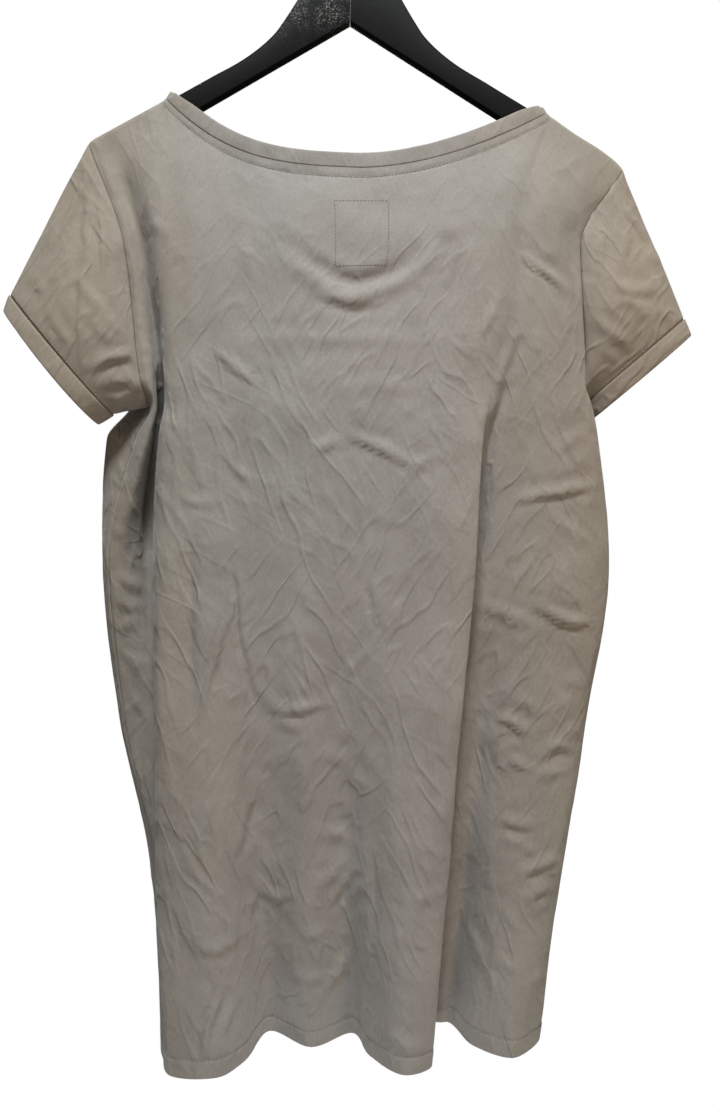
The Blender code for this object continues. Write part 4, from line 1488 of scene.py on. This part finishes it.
@dataclass(frozen=True)
class Lap:
    """A place where the cloth folds in along one fold line, deep and dark."""

    line: str
    drop: float
    wide: float
    start_z: float
    full_z: float
    aside: float = 0.0
    lasting: float = 1.0
    fading_z: Pair = (-560.0, -660.0)
    reach: float = 7.0

    def column(self, panel: Panel) -> int:
        """The column of points that the fold line runs down."""
        names = [line.name for line in panel.lines]
        return sum(line.cells for line in panel.lines[:names.index(self.line)])

    def share(self, z: Array) -> Array:
        """How much of the fold there is at each height."""
        gone = (1.0 - self.lasting) * step_between(*self.fading_z, z)
        return step_between(self.start_z, self.full_z, z) * (1.0 - gone)

    def relief(self, panel: Panel) -> Array:
        """The hollow along the line.

        Args:
            panel: the panel that folds.

        Returns:
            The lift at each point.
        """
        run, column = travelled(panel.points, 1), self.column(panel)
        past = run - run[:, column:column + 1]
        return -self.drop * fading(past, self.wide) * self.share(panel.points[..., 2])

    def slide(self, panel: Panel) -> None:
        """Draws the cloth beside the line sideways, in below its neighbour."""
        away = np.arange(panel.points.shape[1]) - self.column(panel)
        panel.points[..., 0] += self.aside * fading(away, self.reach) * self.share(panel.points[..., 2])


@dataclass(frozen=True)
class Allowance:
    """A doubled strip along an edge, held flat by its stitches, which draw the cloth in."""

    width: float
    lift: float
    step: Pair
    row: float
    drawn: float
    drawn_width: float
    gather: float
    gather_width: float
    wave: float

    def relief(self, points: Array, distance: Array, seed: float) -> Array:
        """How far the strip lifts the cloth and its stitches draw it in.

        Args:
            points: the places.
            distance: their distance from the edge.
            seed: what sets this strip apart.

        Returns:
            The lift at each place.
        """
        inner, outer = self.step
        thick = self.lift * (1.0 - step_between(self.width - inner, self.width + outer, distance))
        from_row = distance - (self.width + self.row)
        gather = self.gather * soft_noise(points, self.wave, seed) * fading(from_row, self.gather_width)
        return thick - self.drawn * fading(from_row, self.drawn_width) + gather


@dataclass
class Sewing:
    """How the cloth is sewn: what each seam does to the surface beside it, the hem, and the neck's welt."""

    seam_dip: float = 0.55
    seam_width: float = 2.2
    neck_dip: float = 0.4
    neck_width: float = 1.8
    pucker: float = 0.35
    pucker_wave: float = 7.0
    pucker_place: float = 4.0
    pucker_width: float = 5.0
    twin_gap: float = 1.6
    hem: Allowance = Allowance(width=13.8, lift=0.5, step=(0.6, 1.6), row=0.8, drawn=0.65, drawn_width=1.3,
                               gather=0.7, gather_width=7.0, wave=8.5)
    welt: Allowance = Allowance(width=7.8, lift=0.55, step=(0.4, 1.0), row=0.0, drawn=0.6, drawn_width=1.1,
                                gather=0.5, gather_width=5.0, wave=6.5)

    def beside_seam(self, points: Array, distance: Array, seed: float) -> Array:
        """The dip and the small puckers beside a seam.

        Args:
            points: the places.
            distance: their distance from the seam.
            seed: what sets these puckers apart.

        Returns:
            The lift at each place.
        """
        gather = soft_noise(points, self.pucker_wave, seed)
        gather *= fading(distance - self.pucker_place, self.pucker_width)
        return self.pucker * gather - self.seam_dip * fading(distance, self.seam_width)


LAPS = {
    # fold line, depth and half width of its hollow, where it starts and is full, how far the cloth is drawn
    # aside there, and the share of it that lasts down to the hem
    "back": (
        Lap("fall_right", 0.0, 1.0, -425.0, -560.0, -7.5),
        Lap("gutter_right", 15.0, 4.0, -425.0, -560.0),
        Lap("gutter_left", 14.0, 7.0, -425.0, -480.0, 0.0, 0.2)),
    "front": (
        Lap("crest_left", 2.2, 4.0, -480.0, -600.0),),
}


@dataclass
class Body:
    """The back and the front, joined at the sides and the shoulders."""

    neckline: Neckline
    sewing: Sewing
    jersey: Jersey
    wall: float = 1.3
    gap: float = 0.3
    neck_drops: Pair = (62.0, 106.0)
    neck_bows: Pair = (13.0, 11.0)
    facing: Pair = (0.2, 0.7)
    held_sides: Pair = (1.0, 13.0)
    held_top: Pair = (8.0, 30.0)
    held_hem: Pair = (2.0, 26.0)
    least_at_hem: float = 0.25
    least_lap: float = 0.4
    back: Panel = field(init=False)
    front: Panel = field(init=False)

    def __post_init__(self) -> None:
        """Lays out both panels."""
        self.back = Panel("back", Way.BACK, FoldLine.rows(BACK_LINES),
                          ("panel_left", "fall_left", "fall_right", "gutter_right"),
                          self.neck_drops[0], self.neck_bows[0], self.neckline)
        self.front = Panel("front", Way.FRONT, FoldLine.rows(FRONT_LINES),
                           ("fall_front_right", "crest_right", "crest_left", "fall_front_left"),
                           self.neck_drops[1], self.neck_bows[1], self.neckline)
        self.back.lay_out(self.front)
        self.front.lay_out(self.back)
        self.back.face_out(self.front, self.gap)
        self.front.face_out(self.back, self.gap)
        self.back.part_seams()
        self.front.part_seams()

    def armhole(self, side: Side) -> list[tuple[int, int, int, int, int]]:
        """Places round one armhole, from the underarm up the back and down the front.

        Args:
            side: which armhole.

        Returns:
            Panel, row, column, and the next row and column into the body, for each place.
        """
        row = self.back.underarm_row()
        back_edge, front_edge = (0, -1) if side is Side.LEFT else (-1, 0)
        back_in, front_in = (1, -2) if side is Side.LEFT else (-2, 1)
        places = [(0, row, back_edge, row + 1, back_edge)]
        places += [(0, r, back_edge, r, back_in) for r in range(row - 1, -1, -1)]
        return places + [(1, r, front_edge, r, front_in) for r in range(1, row)]

    def relief(self, panel: Panel, creases: Creases, seed: float) -> Array:
        """All that is raised or sunk on one panel.

        Args:
            panel: the panel.
            creases: its creases.
            seed: what sets its small waves apart.

        Returns:
            The lift at each point.
        """
        points, edge, top, rise = panel.points, panel.from_edges(), panel.from_top(), panel.from_hem()
        facing = step_between(*self.facing, panel.normals[..., 1] * panel.way.value)
        held = step_between(*self.held_sides, edge) * step_between(*self.held_top, top)
        at_hem = step_between(*self.held_hem, rise) * (1.0 - self.least_at_hem) + self.least_at_hem
        lift = creases.relief(points) * facing * held * at_hem
        for lap in LAPS.get(panel.name, ()):
            lift += lap.relief(panel) * (self.least_lap + (1.0 - self.least_lap) * at_hem)
        lift += crumple(points, seed) * held
        lift += self.sewing.beside_seam(points, edge, seed + 1.0)
        neck = self.neckline.on_neck(points[0, :, 0])[None, :]
        lift += np.where(neck, self.sewing.welt.relief(points, top, seed + 2.0),
                         -self.sewing.neck_dip * fading(top, self.sewing.neck_width))
        return lift + self.sewing.hem.relief(points, rise, seed + 3.0)

    def make(self) -> dict[str, Piece]:
        """Creases, sews and builds both panels.

        Returns:
            The two pieces by name.
        """
        material = self.jersey.material()
        moved = Creases(BACK_CREASES, gain=1.6, mirrored=True, shift_x=-12.0, shift_z=16.0, seed=31.0)
        sets = (self.back, Creases(BACK_CREASES, gain=1.7), 11.0), (self.front, moved, 47.0)
        pieces = {}
        for panel, creases, seed in sets:
            panel.points = panel.points + panel.normals * self.relief(panel, creases, seed)[..., None]
            for lap in LAPS.get(panel.name, ()):
                lap.slide(panel)
            piece = knitted(f"{panel.name}_jersey", panel.points)
            lined(piece, self.wall, panel.normals[0, 0])
            pieces[panel.name] = joined(piece, material, panel.name, panel.name)
        return pieces


@dataclass
class Sleeve:
    """One short sleeve and its cuff, sewn to the armhole."""

    side: Side
    body: Body
    sewing: Sewing
    jersey: Jersey
    doubled: Jersey
    rows: int = 36
    puff: float = 9.0
    wall: float = 1.3
    solid_wall: float = 1.5
    band_wall: float = 2.4
    gap: float = 0.2
    tight_gap: float = 0.3
    tight_reach: float = 55.0
    cuff_width: float = 16.0
    cuff_rows: int = 9
    mitre_rounds: int = 24
    facing: Pair = (0.15, 0.6)
    held_ends: Pair = (1.0, 14.0)
    crumpling: float = 0.8
    outer: Array = field(init=False)
    normals: Array = field(init=False)
    cuff_start: Array = field(init=False)
    cuff_out: Array = field(init=False)
    cuff_normals: Array = field(init=False)

    def ring(self, crease: Triple, fold: Triple, half_depth: float, egg: float, shares: Array) -> Array:
        """Points round the sleeve's end, egg-shaped between the underarm fold and the overarm crease.

        Args:
            crease: the overarm crease's point.
            fold: the underarm fold's point.
            half_depth: half of the opening's depth.
            egg: how much fuller it is by the fold.
            shares: how far round each point is, and which side it is on.

        Returns:
            The points.
        """
        crease, fold = np.array(crease), np.array(fold)
        turn = math.pi * shares[:, :1]
        centre = fold + (crease - fold) * (1.0 - np.cos(turn)) / 2.0
        depth = half_depth * np.sin(turn) * (1.0 + egg * np.cos(turn))
        return centre + depth * shares[:, 1:] * np.array([0.0, 1.0, 0.0])

    def shares(self, points: Array) -> Array:
        """How far each armhole point is from the underarm to the shoulder, and which side it is on.

        Args:
            points: the armhole's points.

        Returns:
            A share from 0 to 1, and -1 on the back or 1 on the front, for each.
        """
        tip = self.body.back.underarm_row()
        run = self.run_of(points)
        index = np.arange(len(points))
        up, down = run / run[tip], (run[-1] - run) / (run[-1] - run[tip])
        even_up, even_down = index / tip, (len(points) - index) / (len(points) - tip)
        climbing = index <= tip
        share = np.where(climbing, 0.5 * (up[:-1] + even_up), 0.5 * (down[:-1] + even_down))
        return np.column_stack([share, np.where(climbing, -1.0, 1.0)])

    def run_of(self, points: Array) -> Array:
        """Distance travelled round a ring, with its whole length last."""
        return travelled(np.concatenate([points, points[:1]]))

    def mitre(self, places: list, outer: Array, normals: Array) -> None:
        """Turns the sleeve's and the panels' edges to each other and parts them by the seam's gap.

        Args:
            places: the armhole's places on the panels.
            outer: the sleeve's points, whose first ring moves.
            normals: the sleeve's normals, whose first ring turns.
        """
        panels = (self.body.back, self.body.front)
        tip = self.body.back.underarm_row()
        mitres = np.array([unit(panels[panel].normals[row, column] + normal)
                           for (panel, row, column, _, _), normal in zip(places, normals[0])])
        for _ in range(self.mitre_rounds):
            mitres = unit(np.roll(mitres, 1, axis=0) + 2.0 * mitres + np.roll(mitres, -1, axis=0))
        run = self.run_of(outer[0])
        from_turns = np.minimum.reduce([run[:-1], run[-1] - run[:-1], np.abs(run[:-1] - run[tip])])
        gaps = self.tight_gap + (self.gap - self.tight_gap) * step_between(0.0, self.tight_reach, from_turns)
        moved = []
        for i, (panel, row, column, next_row, next_column) in enumerate(places):
            surface = panels[panel].points
            into_body = unit(surface[next_row, next_column] - surface[row, column])
            across = into_body - unit(outer[1, i] - outer[0, i])
            across = unit(across - mitres[i] * np.dot(across, mitres[i])) * gaps[i] / 2.0
            twins = [(panel, row, column)] + ([(1, row, -1 - column)] if i in (0, tip) else [])
            moved.append((i, twins, across))
        for i, twins, across in moved:
            normals[0, i] = mitres[i]
            outer[0, i] -= across
            for panel, row, column in twins:
                panels[panel].points[row, column] += across
                panels[panel].normals[row, column] = mitres[i]

    def lay_out(self) -> None:
        """Works out the sleeve's and the cuff's points from the armhole, before anything is creased."""
        crease, fold, cuff_crease, cuff_fold, half_depth, egg = SLEEVES[self.side.word]
        places = self.body.armhole(self.side)
        panels = (self.body.back, self.body.front)
        points = np.array([panels[panel].points[row, column] for panel, row, column, _, _ in places])
        points[self.body.back.underarm_row(), 1] = 0.0
        shares = self.shares(points)
        end = self.ring(crease, fold, half_depth, egg, shares)
        part = np.linspace(0.0, 1.0, self.rows + 1)[:, None]
        outer = points + (end - points) * part[..., None]
        outer[..., 1] += (shares[:, 1] * self.puff * np.sin(math.pi * shares[:, 0])) * np.sin(math.pi * part)
        turned = self.side.value
        normals = surface_normals(outer) * turned
        self.mitre(places, outer, normals)
        out = unit(self.ring(cuff_crease, cuff_fold, half_depth, egg, shares) - outer[-1])
        reach = np.linspace(0.0, self.cuff_width, self.cuff_rows)[:, None, None]
        band_normals = surface_normals(outer[-1] + out * reach) * turned
        normals[-1] = band_normals[0] = unit(normals[-1] + band_normals[0])
        apart = unit(out - normals[-1] * np.sum(out * normals[-1], axis=1, keepdims=True)) * self.gap
        start = outer[-1] + apart + normals[-1] * (self.band_wall - self.solid_wall)
        self.outer, self.normals = outer, normals
        self.cuff_start, self.cuff_out, self.cuff_normals = start, out, band_normals

    def make(self) -> dict[str, Piece]:
        """Creases and builds the sleeve and its cuff.

        Returns:
            The two pieces by name.
        """
        name, cuff_name = f"sleeve_{self.side.word}", f"cuff_{self.side.word}"
        seed = 60.0 + 5.0 * self.side.value
        run = travelled(self.outer)
        from_ends = np.minimum(run, run[-1:] - run)
        held = step_between(*self.held_ends, from_ends)
        face = self.normals[..., 1]
        table = SLEEVE_CREASES[self.side.word]
        behind = Creases(table, gain=1.4).relief(self.outer) * step_between(*self.facing, -face)
        moved = Creases(table, gain=1.2, shift_x=6.0, shift_z=-9.0, seed=19.0)
        ahead = moved.relief(self.outer) * step_between(*self.facing, face)
        lift = (behind + ahead + self.crumpling * crumple(self.outer, seed)) * held
        lift += self.sewing.beside_seam(self.outer, run, seed + 1.0)
        lift += self.sewing.beside_seam(self.outer, run[-1:] - run, seed + 2.0)
        self.outer = self.outer + self.normals * lift[..., None]
        piece = lined(knitted(f"{name}_jersey", self.outer, around=True), self.wall, self.normals[0, 0])
        cuff = band_piece(f"{cuff_name}_jersey", self.cuff_start, self.cuff_out, self.cuff_normals,
                          self.cuff_width, self.band_wall, seed + 3.0)
        return {name: joined(piece, self.jersey.material(), name, name),
                cuff_name: joined(cuff, self.doubled.material(), cuff_name, cuff_name)}


# a doubled band: points up each side, turns round its fold, its crown, and the height, the wavelength and the
# held width of its small waves
BAND_STEPS = 9
BAND_FOLD_STEPS = 6
BAND_CROWN = 0.35
BAND_WAVE = 0.45
BAND_WAVELENGTH = 16.0
BAND_HELD = 3.0


def band_piece(name: str, start: Array, out: Array, normals: Array, width: float, wall: float,
               seed: float) -> Piece:
    """A band of cloth folded double, as a closed ring with a round folded edge.

    Args:
        name: the piece's name.
        start: points round its sewn edge.
        out: the way from there to its fold.
        normals: its outward normals, in rows from its sewn edge to its fold.
        width: the band's width.
        wall: its thickness.
        seed: what sets its small waves apart.

    Returns:
        The band.
    """
    half, last = wall / 2.0, len(normals) - 1
    flat = np.linspace(0.0, width - half, BAND_STEPS)
    turns = np.linspace(0.0, math.pi, BAND_FOLD_STEPS + 1)[1:-1]
    along = np.concatenate([flat, width - half + half * np.sin(turns), flat[::-1]])
    depth = np.concatenate([np.zeros(BAND_STEPS), half - half * np.cos(turns), np.full(BAND_STEPS, wall)])
    crown = BAND_CROWN * np.sin(math.pi * along / width) * np.where(depth < half, 1.0, -1.0)
    rings = []
    for reach, sunk, bulge in zip(along, depth, crown):
        outside = start + out * reach
        wave = soft_noise(outside, BAND_WAVELENGTH, seed) * BAND_WAVE * min(1.0, reach / BAND_HELD)
        facing = normals[min(last, round(reach / width * last))]
        rings.append(outside + facing * (bulge + wave - sunk)[:, None])
    return turned_out(knitted(name, np.array(rings), around=True, looped=True))


@dataclass
class Neckband:
    """The folded band sewn round the neckline, over the hanger's arms at both neck points."""

    body: Body
    doubled: Jersey
    width: float = 13.5
    wall: float = 2.4
    solid_wall: float = 1.9
    gap: float = 0.2
    ends_low: float = 0.3
    ends_reach: float = 13.0
    start: Array = field(init=False)
    up: Array = field(init=False)
    normals: Array = field(init=False)

    def seam(self) -> tuple[Array, Array]:
        """The neckline seam right round, across the back and back along the front.

        Returns:
            Its points and its outward normals.
        """
        neckline, back, front = self.body.neckline, self.body.back, self.body.front
        inside, ahead = (np.flatnonzero(neckline.on_neck(panel.points[0, :, 0])) for panel in (back, front))
        across = np.arange(inside[0] - 1, inside[-1] + 2)
        seam = np.concatenate([back.points[0, across], front.points[0, ahead]])
        seam[[0, len(across) - 1], 1] = 0.0
        normals = np.concatenate([back.normals[0, across], front.normals[0, ahead]])
        return seam, normals

    def lay_out(self) -> None:
        """Works out where the band starts and which way it stands, before the panels are creased."""
        seam, self.normals = self.seam()
        along = np.roll(seam, -1, axis=0) - np.roll(seam, 1, axis=0)
        x = seam[:, 0]
        from_ends = np.abs(x - np.where(x > 0.0, x.max(), x.min()))
        width = 1.0 - self.ends_low * fading(from_ends, self.ends_reach)
        self.up = unit(np.cross(self.normals, along)) * width[:, None]
        self.start = seam + self.up * self.gap + self.normals * (self.wall - self.solid_wall)

    def make(self) -> dict[str, Piece]:
        """Builds the band.

        Returns:
            The piece by name.
        """
        piece = band_piece("neckband_jersey", self.start, self.up, self.normals[None], self.width, self.wall,
                           seed=83.0)
        return {"neckband": joined(piece, self.doubled.material(), "neckband", "neckband")}


@dataclass
class Stitching:
    """Rows of small raised stitches, pressed into the cloth."""

    thread: Thread
    length: float = 2.4
    pitch: float = 3.3
    width: float = 0.8
    height: float = 0.8 / 1.3
    raised: float = 0.12
    feel: float = 0.4

    def row(self, mesh: bmesh.types.BMesh, route: Array, normals: Array, shrink: float = 1.0) -> None:
        """Lays stitches along a route.

        Args:
            mesh: the mesh they are added to.
            route: points along it, on the cloth.
            normals: the cloth's normals there.
            shrink: the share of their full length and step.
        """
        run = travelled(route)
        count = max(2, int(run[-1] / (self.pitch * shrink)))
        places = (np.arange(count) + 0.5) * run[-1] / count
        along = read_at(places + self.feel, run, route) - read_at(places - self.feel, run, route)
        half = Vector((self.length * shrink / 2.0, self.width / 2.0, self.height / 2.0)) * MM
        size = Matrix.Diagonal((*half, 1.0))
        middles, facing = read_at(places, run, route), unit(read_at(places, run, normals))
        for point, way, up in zip(middles, unit(along), facing):
            way = unit(way - up * np.dot(way, up))
            turn = Matrix((way, np.cross(up, way), up)).transposed().to_4x4()
            place = Matrix.Translation(Vector((point + up * self.raised) * MM)) @ turn @ size
            bmesh.ops.create_icosphere(mesh, subdivisions=1, radius=1.0, matrix=place)


@dataclass
class Seams:
    """Every row of stitches that shows: hem, neck, cuffs, and the place where a label is sewn in."""

    body: Body
    sleeves: "list[Sleeve]"
    stitching: Stitching
    label: tuple = ((-16.0, -291.0), (31.0, -290.5), (29.5, -349.0), (-15.0, -350.0))
    label_bow: float = 1.1
    label_points: int = 24
    label_shrink: float = 0.9
    outside_y: float = -200.0
    above_cuff: float = 2.4
    bar_column: int = 4
    bar_foot: float = 5.5
    bar_length: float = 9.0
    bar_points: int = 8
    bar_shrink: float = 0.6

    def at_depth(self, points: Array, normals: Array, distance: Array,
                 wanted: float) -> tuple[Array, Array]:
        """A route across rows of points at one distance down every column.

        Args:
            points: rows of points, nearest first.
            normals: their normals.
            distance: their distances.
            wanted: the distance.

        Returns:
            The route's points and their normals.
        """
        route, facing = [], []
        for column, run in enumerate(distance.T):
            route.append(read_at(wanted, run, points[:, column]))
            facing.append(read_at(wanted, run, normals[:, column]))
        return np.array(route), unit(np.array(facing))

    def panel_rows(self, panel: Panel, material: bpy.types.Material) -> Piece:
        """The twin rows of a panel's hem, and the row below its neck.

        Args:
            panel: the panel.
            material: the thread's material.

        Returns:
            The stitches.
        """
        sewing, mesh = self.body.sewing, bmesh.new()
        upwards = panel.points[::-1], panel.normals[::-1], panel.from_hem()[::-1]
        for rise in (sewing.hem.width, sewing.hem.width + sewing.twin_gap):
            self.stitching.row(mesh, *self.at_depth(*upwards, rise))
        inside = self.body.neckline.on_neck(panel.points[0, :, 0])
        neck = (array[:, inside] for array in (panel.points, panel.normals, panel.from_top()))
        self.stitching.row(mesh, *self.at_depth(*neck, sewing.welt.width))
        return joined(object_from(f"{panel.name}_stitches", mesh), material, panel.name)

    def label_row(self, cloth: Piece, material: bpy.types.Material) -> Piece:
        """Outline of stitches through the back, where a label is sewn inside.

        Args:
            cloth: the back.
            material: the thread's material, darkened with painted shade.

        Returns:
            The stitches.
        """
        tree = BVHTree.FromObject(cloth, bpy.context.evaluated_depsgraph_get())
        mesh = bmesh.new()
        for (x0, z0), (x1, z1) in zip(self.label, self.label[1:] + self.label[:1]):
            upright = abs(z1 - z0) > abs(x1 - x0)
            points, normals = [], []
            for part in np.linspace(0.0, 1.0, self.label_points):
                bow = self.label_bow * math.sin(math.pi * part) * upright
                start = Vector((x0 + (x1 - x0) * part + bow, self.outside_y, z0 + (z1 - z0) * part))
                hit, normal, _, _ = tree.ray_cast(start * MM, Vector((0.0, 1.0, 0.0)))
                points.append(np.array(hit) / MM)
                normals.append(np.array(normal))
            self.stitching.row(mesh, np.array(points), np.array(normals), self.label_shrink)
        return joined(object_from("label_outline_stitches", mesh), material, "back")

    def cuff_row(self, sleeve: Sleeve, material: bpy.types.Material) -> Piece:
        """The row round a sleeve just above its cuff, with the small bar by the underarm.

        Args:
            sleeve: the sleeve.
            material: the thread's material.

        Returns:
            The stitches.
        """
        run = travelled(sleeve.outer)
        upwards = sleeve.outer[::-1], sleeve.normals[::-1], (run[-1:] - run)[::-1]
        points, normals = self.at_depth(*upwards, self.above_cuff)
        mesh = bmesh.new()
        self.stitching.row(mesh, np.concatenate([points, points[:1]]), np.concatenate([normals, normals[:1]]))
        if sleeve.side is Side.LEFT:
            foot, facing = self.at_depth(*upwards, self.bar_foot)
            head, _ = self.at_depth(*upwards, self.bar_foot + self.bar_length)
            bar = np.linspace(foot[self.bar_column], head[self.bar_column], self.bar_points)
            facing = np.tile(facing[self.bar_column], (self.bar_points, 1))
            self.stitching.row(mesh, bar, facing, self.bar_shrink)
        name = f"sleeve_{sleeve.side.word}"
        return joined(object_from(f"{name}_stitches", mesh), material, name)

    def make(self, cloth: dict[str, Piece]) -> dict[str, list[Piece]]:
        """Lays every row.

        Args:
            cloth: the pieces of cloth by name.

        Returns:
            The stitches on each piece of cloth, by its name.
        """
        material = self.stitching.thread.material()
        # painted shade: the label's outline is sewn in darker thread, which stands in for the shadow line
        # along the label
        shaded = Thread("label_thread_painted_shade", (0.13, 0.118, 0.104)).material()
        rows = {"back": [self.panel_rows(self.body.back, material), self.label_row(cloth["back"], shaded)],
                "front": [self.panel_rows(self.body.front, material)]}
        for sleeve in self.sleeves:
            rows[f"sleeve_{sleeve.side.word}"] = [self.cuff_row(sleeve, material)]
        return rows


# each piece as it is cut, a doubled band once folded: width and length in metres, the share of that
# rectangle that is cloth, and what it hangs on
CUTS = {
    # piece: width, length, share, what carries it
    "back": (0.55, 0.87, 0.88, ("hanger_arm_left", "hanger_arm_right")),
    "front": (0.55, 0.87, 0.84, ("hanger_arm_left", "hanger_arm_right")),
    "sleeve_left": (0.42, 0.125, 0.62, ("back", "front")),
    "sleeve_right": (0.42, 0.125, 0.62, ("back", "front")),
    "cuff_left": (0.30, 0.018, 1.0, ("sleeve_left",)),
    "cuff_right": (0.30, 0.018, 1.0, ("sleeve_right",)),
    "neckband": (0.80, 0.016, 1.0, ("back", "front")),
}


@dataclass
class Dress:
    """The whole dress, sewn together and hung on its hanger."""

    hanger: Hanger
    jersey: Jersey
    doubled: Jersey
    thread: Thread

    def make(self) -> None:
        """Lays out every piece, then creases and builds them and lays their stitches."""
        sewing = Sewing()
        body = Body(Neckline(self.hanger), sewing, self.jersey)
        sleeves = [Sleeve(side, body, sewing, self.jersey, self.doubled) for side in Side]
        for sleeve in sleeves:
            sleeve.lay_out()
        band = Neckband(body, self.doubled)
        band.lay_out()
        cloth = body.make()
        for sleeve in sleeves:
            cloth.update(sleeve.make())
        cloth.update(band.make())
        rows = Seams(body, sleeves, Stitching(self.thread)).make(cloth)
        for name, (width, length, share, carriers) in CUTS.items():
            rests = [cloth[item].name if item in cloth else f"{item}_wood" for item in carriers]


LAMPS = (
    # name, place and aim in metres, size, watts, colour
    ("key", (-0.02, -0.95, 1.1), (0.0, 0.0, -0.5), 0.35, 49.0, (0.87, 0.94, 1.0)),
    ("side_right", (1.0, -1.2, -0.3), (0.25, 0.0, -0.6), 0.35, 8.0, (1.0, 0.80, 0.58)),
    ("side_left", (-1.1, -0.9, 0.0), (-0.3, 0.0, -0.35), 0.35, 1.5, (1.0, 0.70, 0.45)),
    ("low", (-0.05, -1.2, -1.1), (0.0, 0.0, -0.8), 0.4, 1.4, (0.95, 0.97, 1.0)),
    ("behind", (-0.5, 2.0, 0.7), (0.0, 0.0, -0.5), 0.9, 62.0, (1.0, 0.97, 0.93)),
)


@dataclass
class Studio:
    """Pale floor, soft lights and the camera."""

    paper: Paper
    floor_z: float = -1500.0
    floor_radius: float = 0.62
    camera: Triple = (0.0065, -0.8, -0.6)
    lens: float = 28.8
    sensor: float = 36.0
    surround: Pair = (0.03, 0.14)
    surround_span: Pair = (-0.5, 0.9)
    sky: Triple = (0.93, 0.97, 1.0)

    def floor(self) -> None:
        """Lays a round floor far below the hem."""
        mesh = bmesh.new()
        bmesh.ops.create_circle(mesh, cap_ends=True, segments=128, radius=self.floor_radius)
        bmesh.ops.translate(mesh, verts=mesh.verts, vec=(0.0, 0.0, self.floor_z * MM))
        piece = object_from("floor", mesh)
        piece.data.materials.append(self.paper.material())

    def lamp(self, name: str, place: Triple, aim: Triple, size: float, power: float, colour: Triple) -> None:
        """Sets up one soft square light.

        Args:
            name: the light's name.
            place: where it stands, in metres.
            aim: what it points at.
            size: the side of its square, in metres.
            power: in watts.
            colour: its colour.
        """
        light = bpy.data.lights.new(name, "AREA")
        light.shape, light.size, light.energy, light.color = "SQUARE", size, power, colour
        lamp = bpy.data.objects.new(name, light)
        lamp.location = place
        lamp.rotation_euler = (Vector(aim) - Vector(place)).to_track_quat("-Z", "Y").to_euler()
        lamp.visible_camera = False
        bpy.context.scene.collection.objects.link(lamp)

    def surroundings(self) -> None:
        """Surrounds it with dim light, brighter from above, which the camera sees as plain white."""
        graph = Graph(bpy.data.worlds.new("studio"))
        height = graph.node("ShaderNodeSeparateXYZ", {}, (graph.node("ShaderNodeTexCoord", {}),), "Z")
        strength = graph.node("ShaderNodeMapRange", {}, (height, *self.surround_span, *self.surround))
        soft = graph.node("ShaderNodeBackground", {}, ((*self.sky, 1.0), strength))
        white = graph.node("ShaderNodeBackground", {}, ((1.0, 1.0, 1.0, 1.0), 1.0))
        seen = graph.node("ShaderNodeLightPath", {}, (), "Is Camera Ray")
        mixed = graph.node("ShaderNodeMixShader", {}, (seen, soft, white))
        graph.feed(graph.tree.nodes["World Output"].inputs["Surface"], mixed)
        bpy.context.scene.world = graph.owner

    def make(self) -> None:
        """Builds the studio and sets the camera level in front of the back of the dress."""
        self.floor()
        for lamp in LAMPS:
            self.lamp(*lamp)
        self.surroundings()
        data = bpy.data.cameras.new("camera")
        data.lens, data.sensor_width, data.sensor_fit = self.lens, self.sensor, "AUTO"
        data.clip_start, data.clip_end = 0.01, 200.0
        camera = bpy.data.objects.new("camera", data)
        camera.location = self.camera
        camera.rotation_euler = (math.radians(90.0), 0.0, 0.0)
        bpy.context.scene.collection.objects.link(camera)
        bpy.context.scene.camera = camera
        bpy.context.scene.view_settings.view_transform = "Standard"


def main() -> None:
    """Builds the studio, the hanger and the dress."""
    logging.basicConfig(level=logging.INFO, format="%(message)s")
    Studio(Paper("pale_paper", (0.9, 0.9, 0.9), 0.6)).make()
    jersey = Jersey("taupe_jersey", (0.290, 0.266, 0.239), (0.208, 0.189, 0.168), (0.91, 0.97, 1.0))
    doubled = Jersey("taupe_jersey_double", (0.286, 0.262, 0.234), (0.203, 0.184, 0.162), (0.93, 0.97, 1.0))
    # lacquers with painted highlight spots by the hook: pale on the left arm, faint and dark on the right
    lacquer = Lacquer("black_lacquer_painted_glints", (0.006, 0.0055, 0.005), (0.55, 0.52, 0.48), 1.0)
    plain = Lacquer("black_lacquer", (0.006, 0.0055, 0.005), (0.10, 0.095, 0.09), 0.12)
    hanger = Hanger(lacquer, plain, Chrome("chrome_wire", (0.78, 0.78, 0.79)))
    hanger.make()
    Dress(hanger, jersey, doubled, Thread("taupe_thread", (0.25, 0.23, 0.2))).make()


if __name__ == "__main__":
    main()
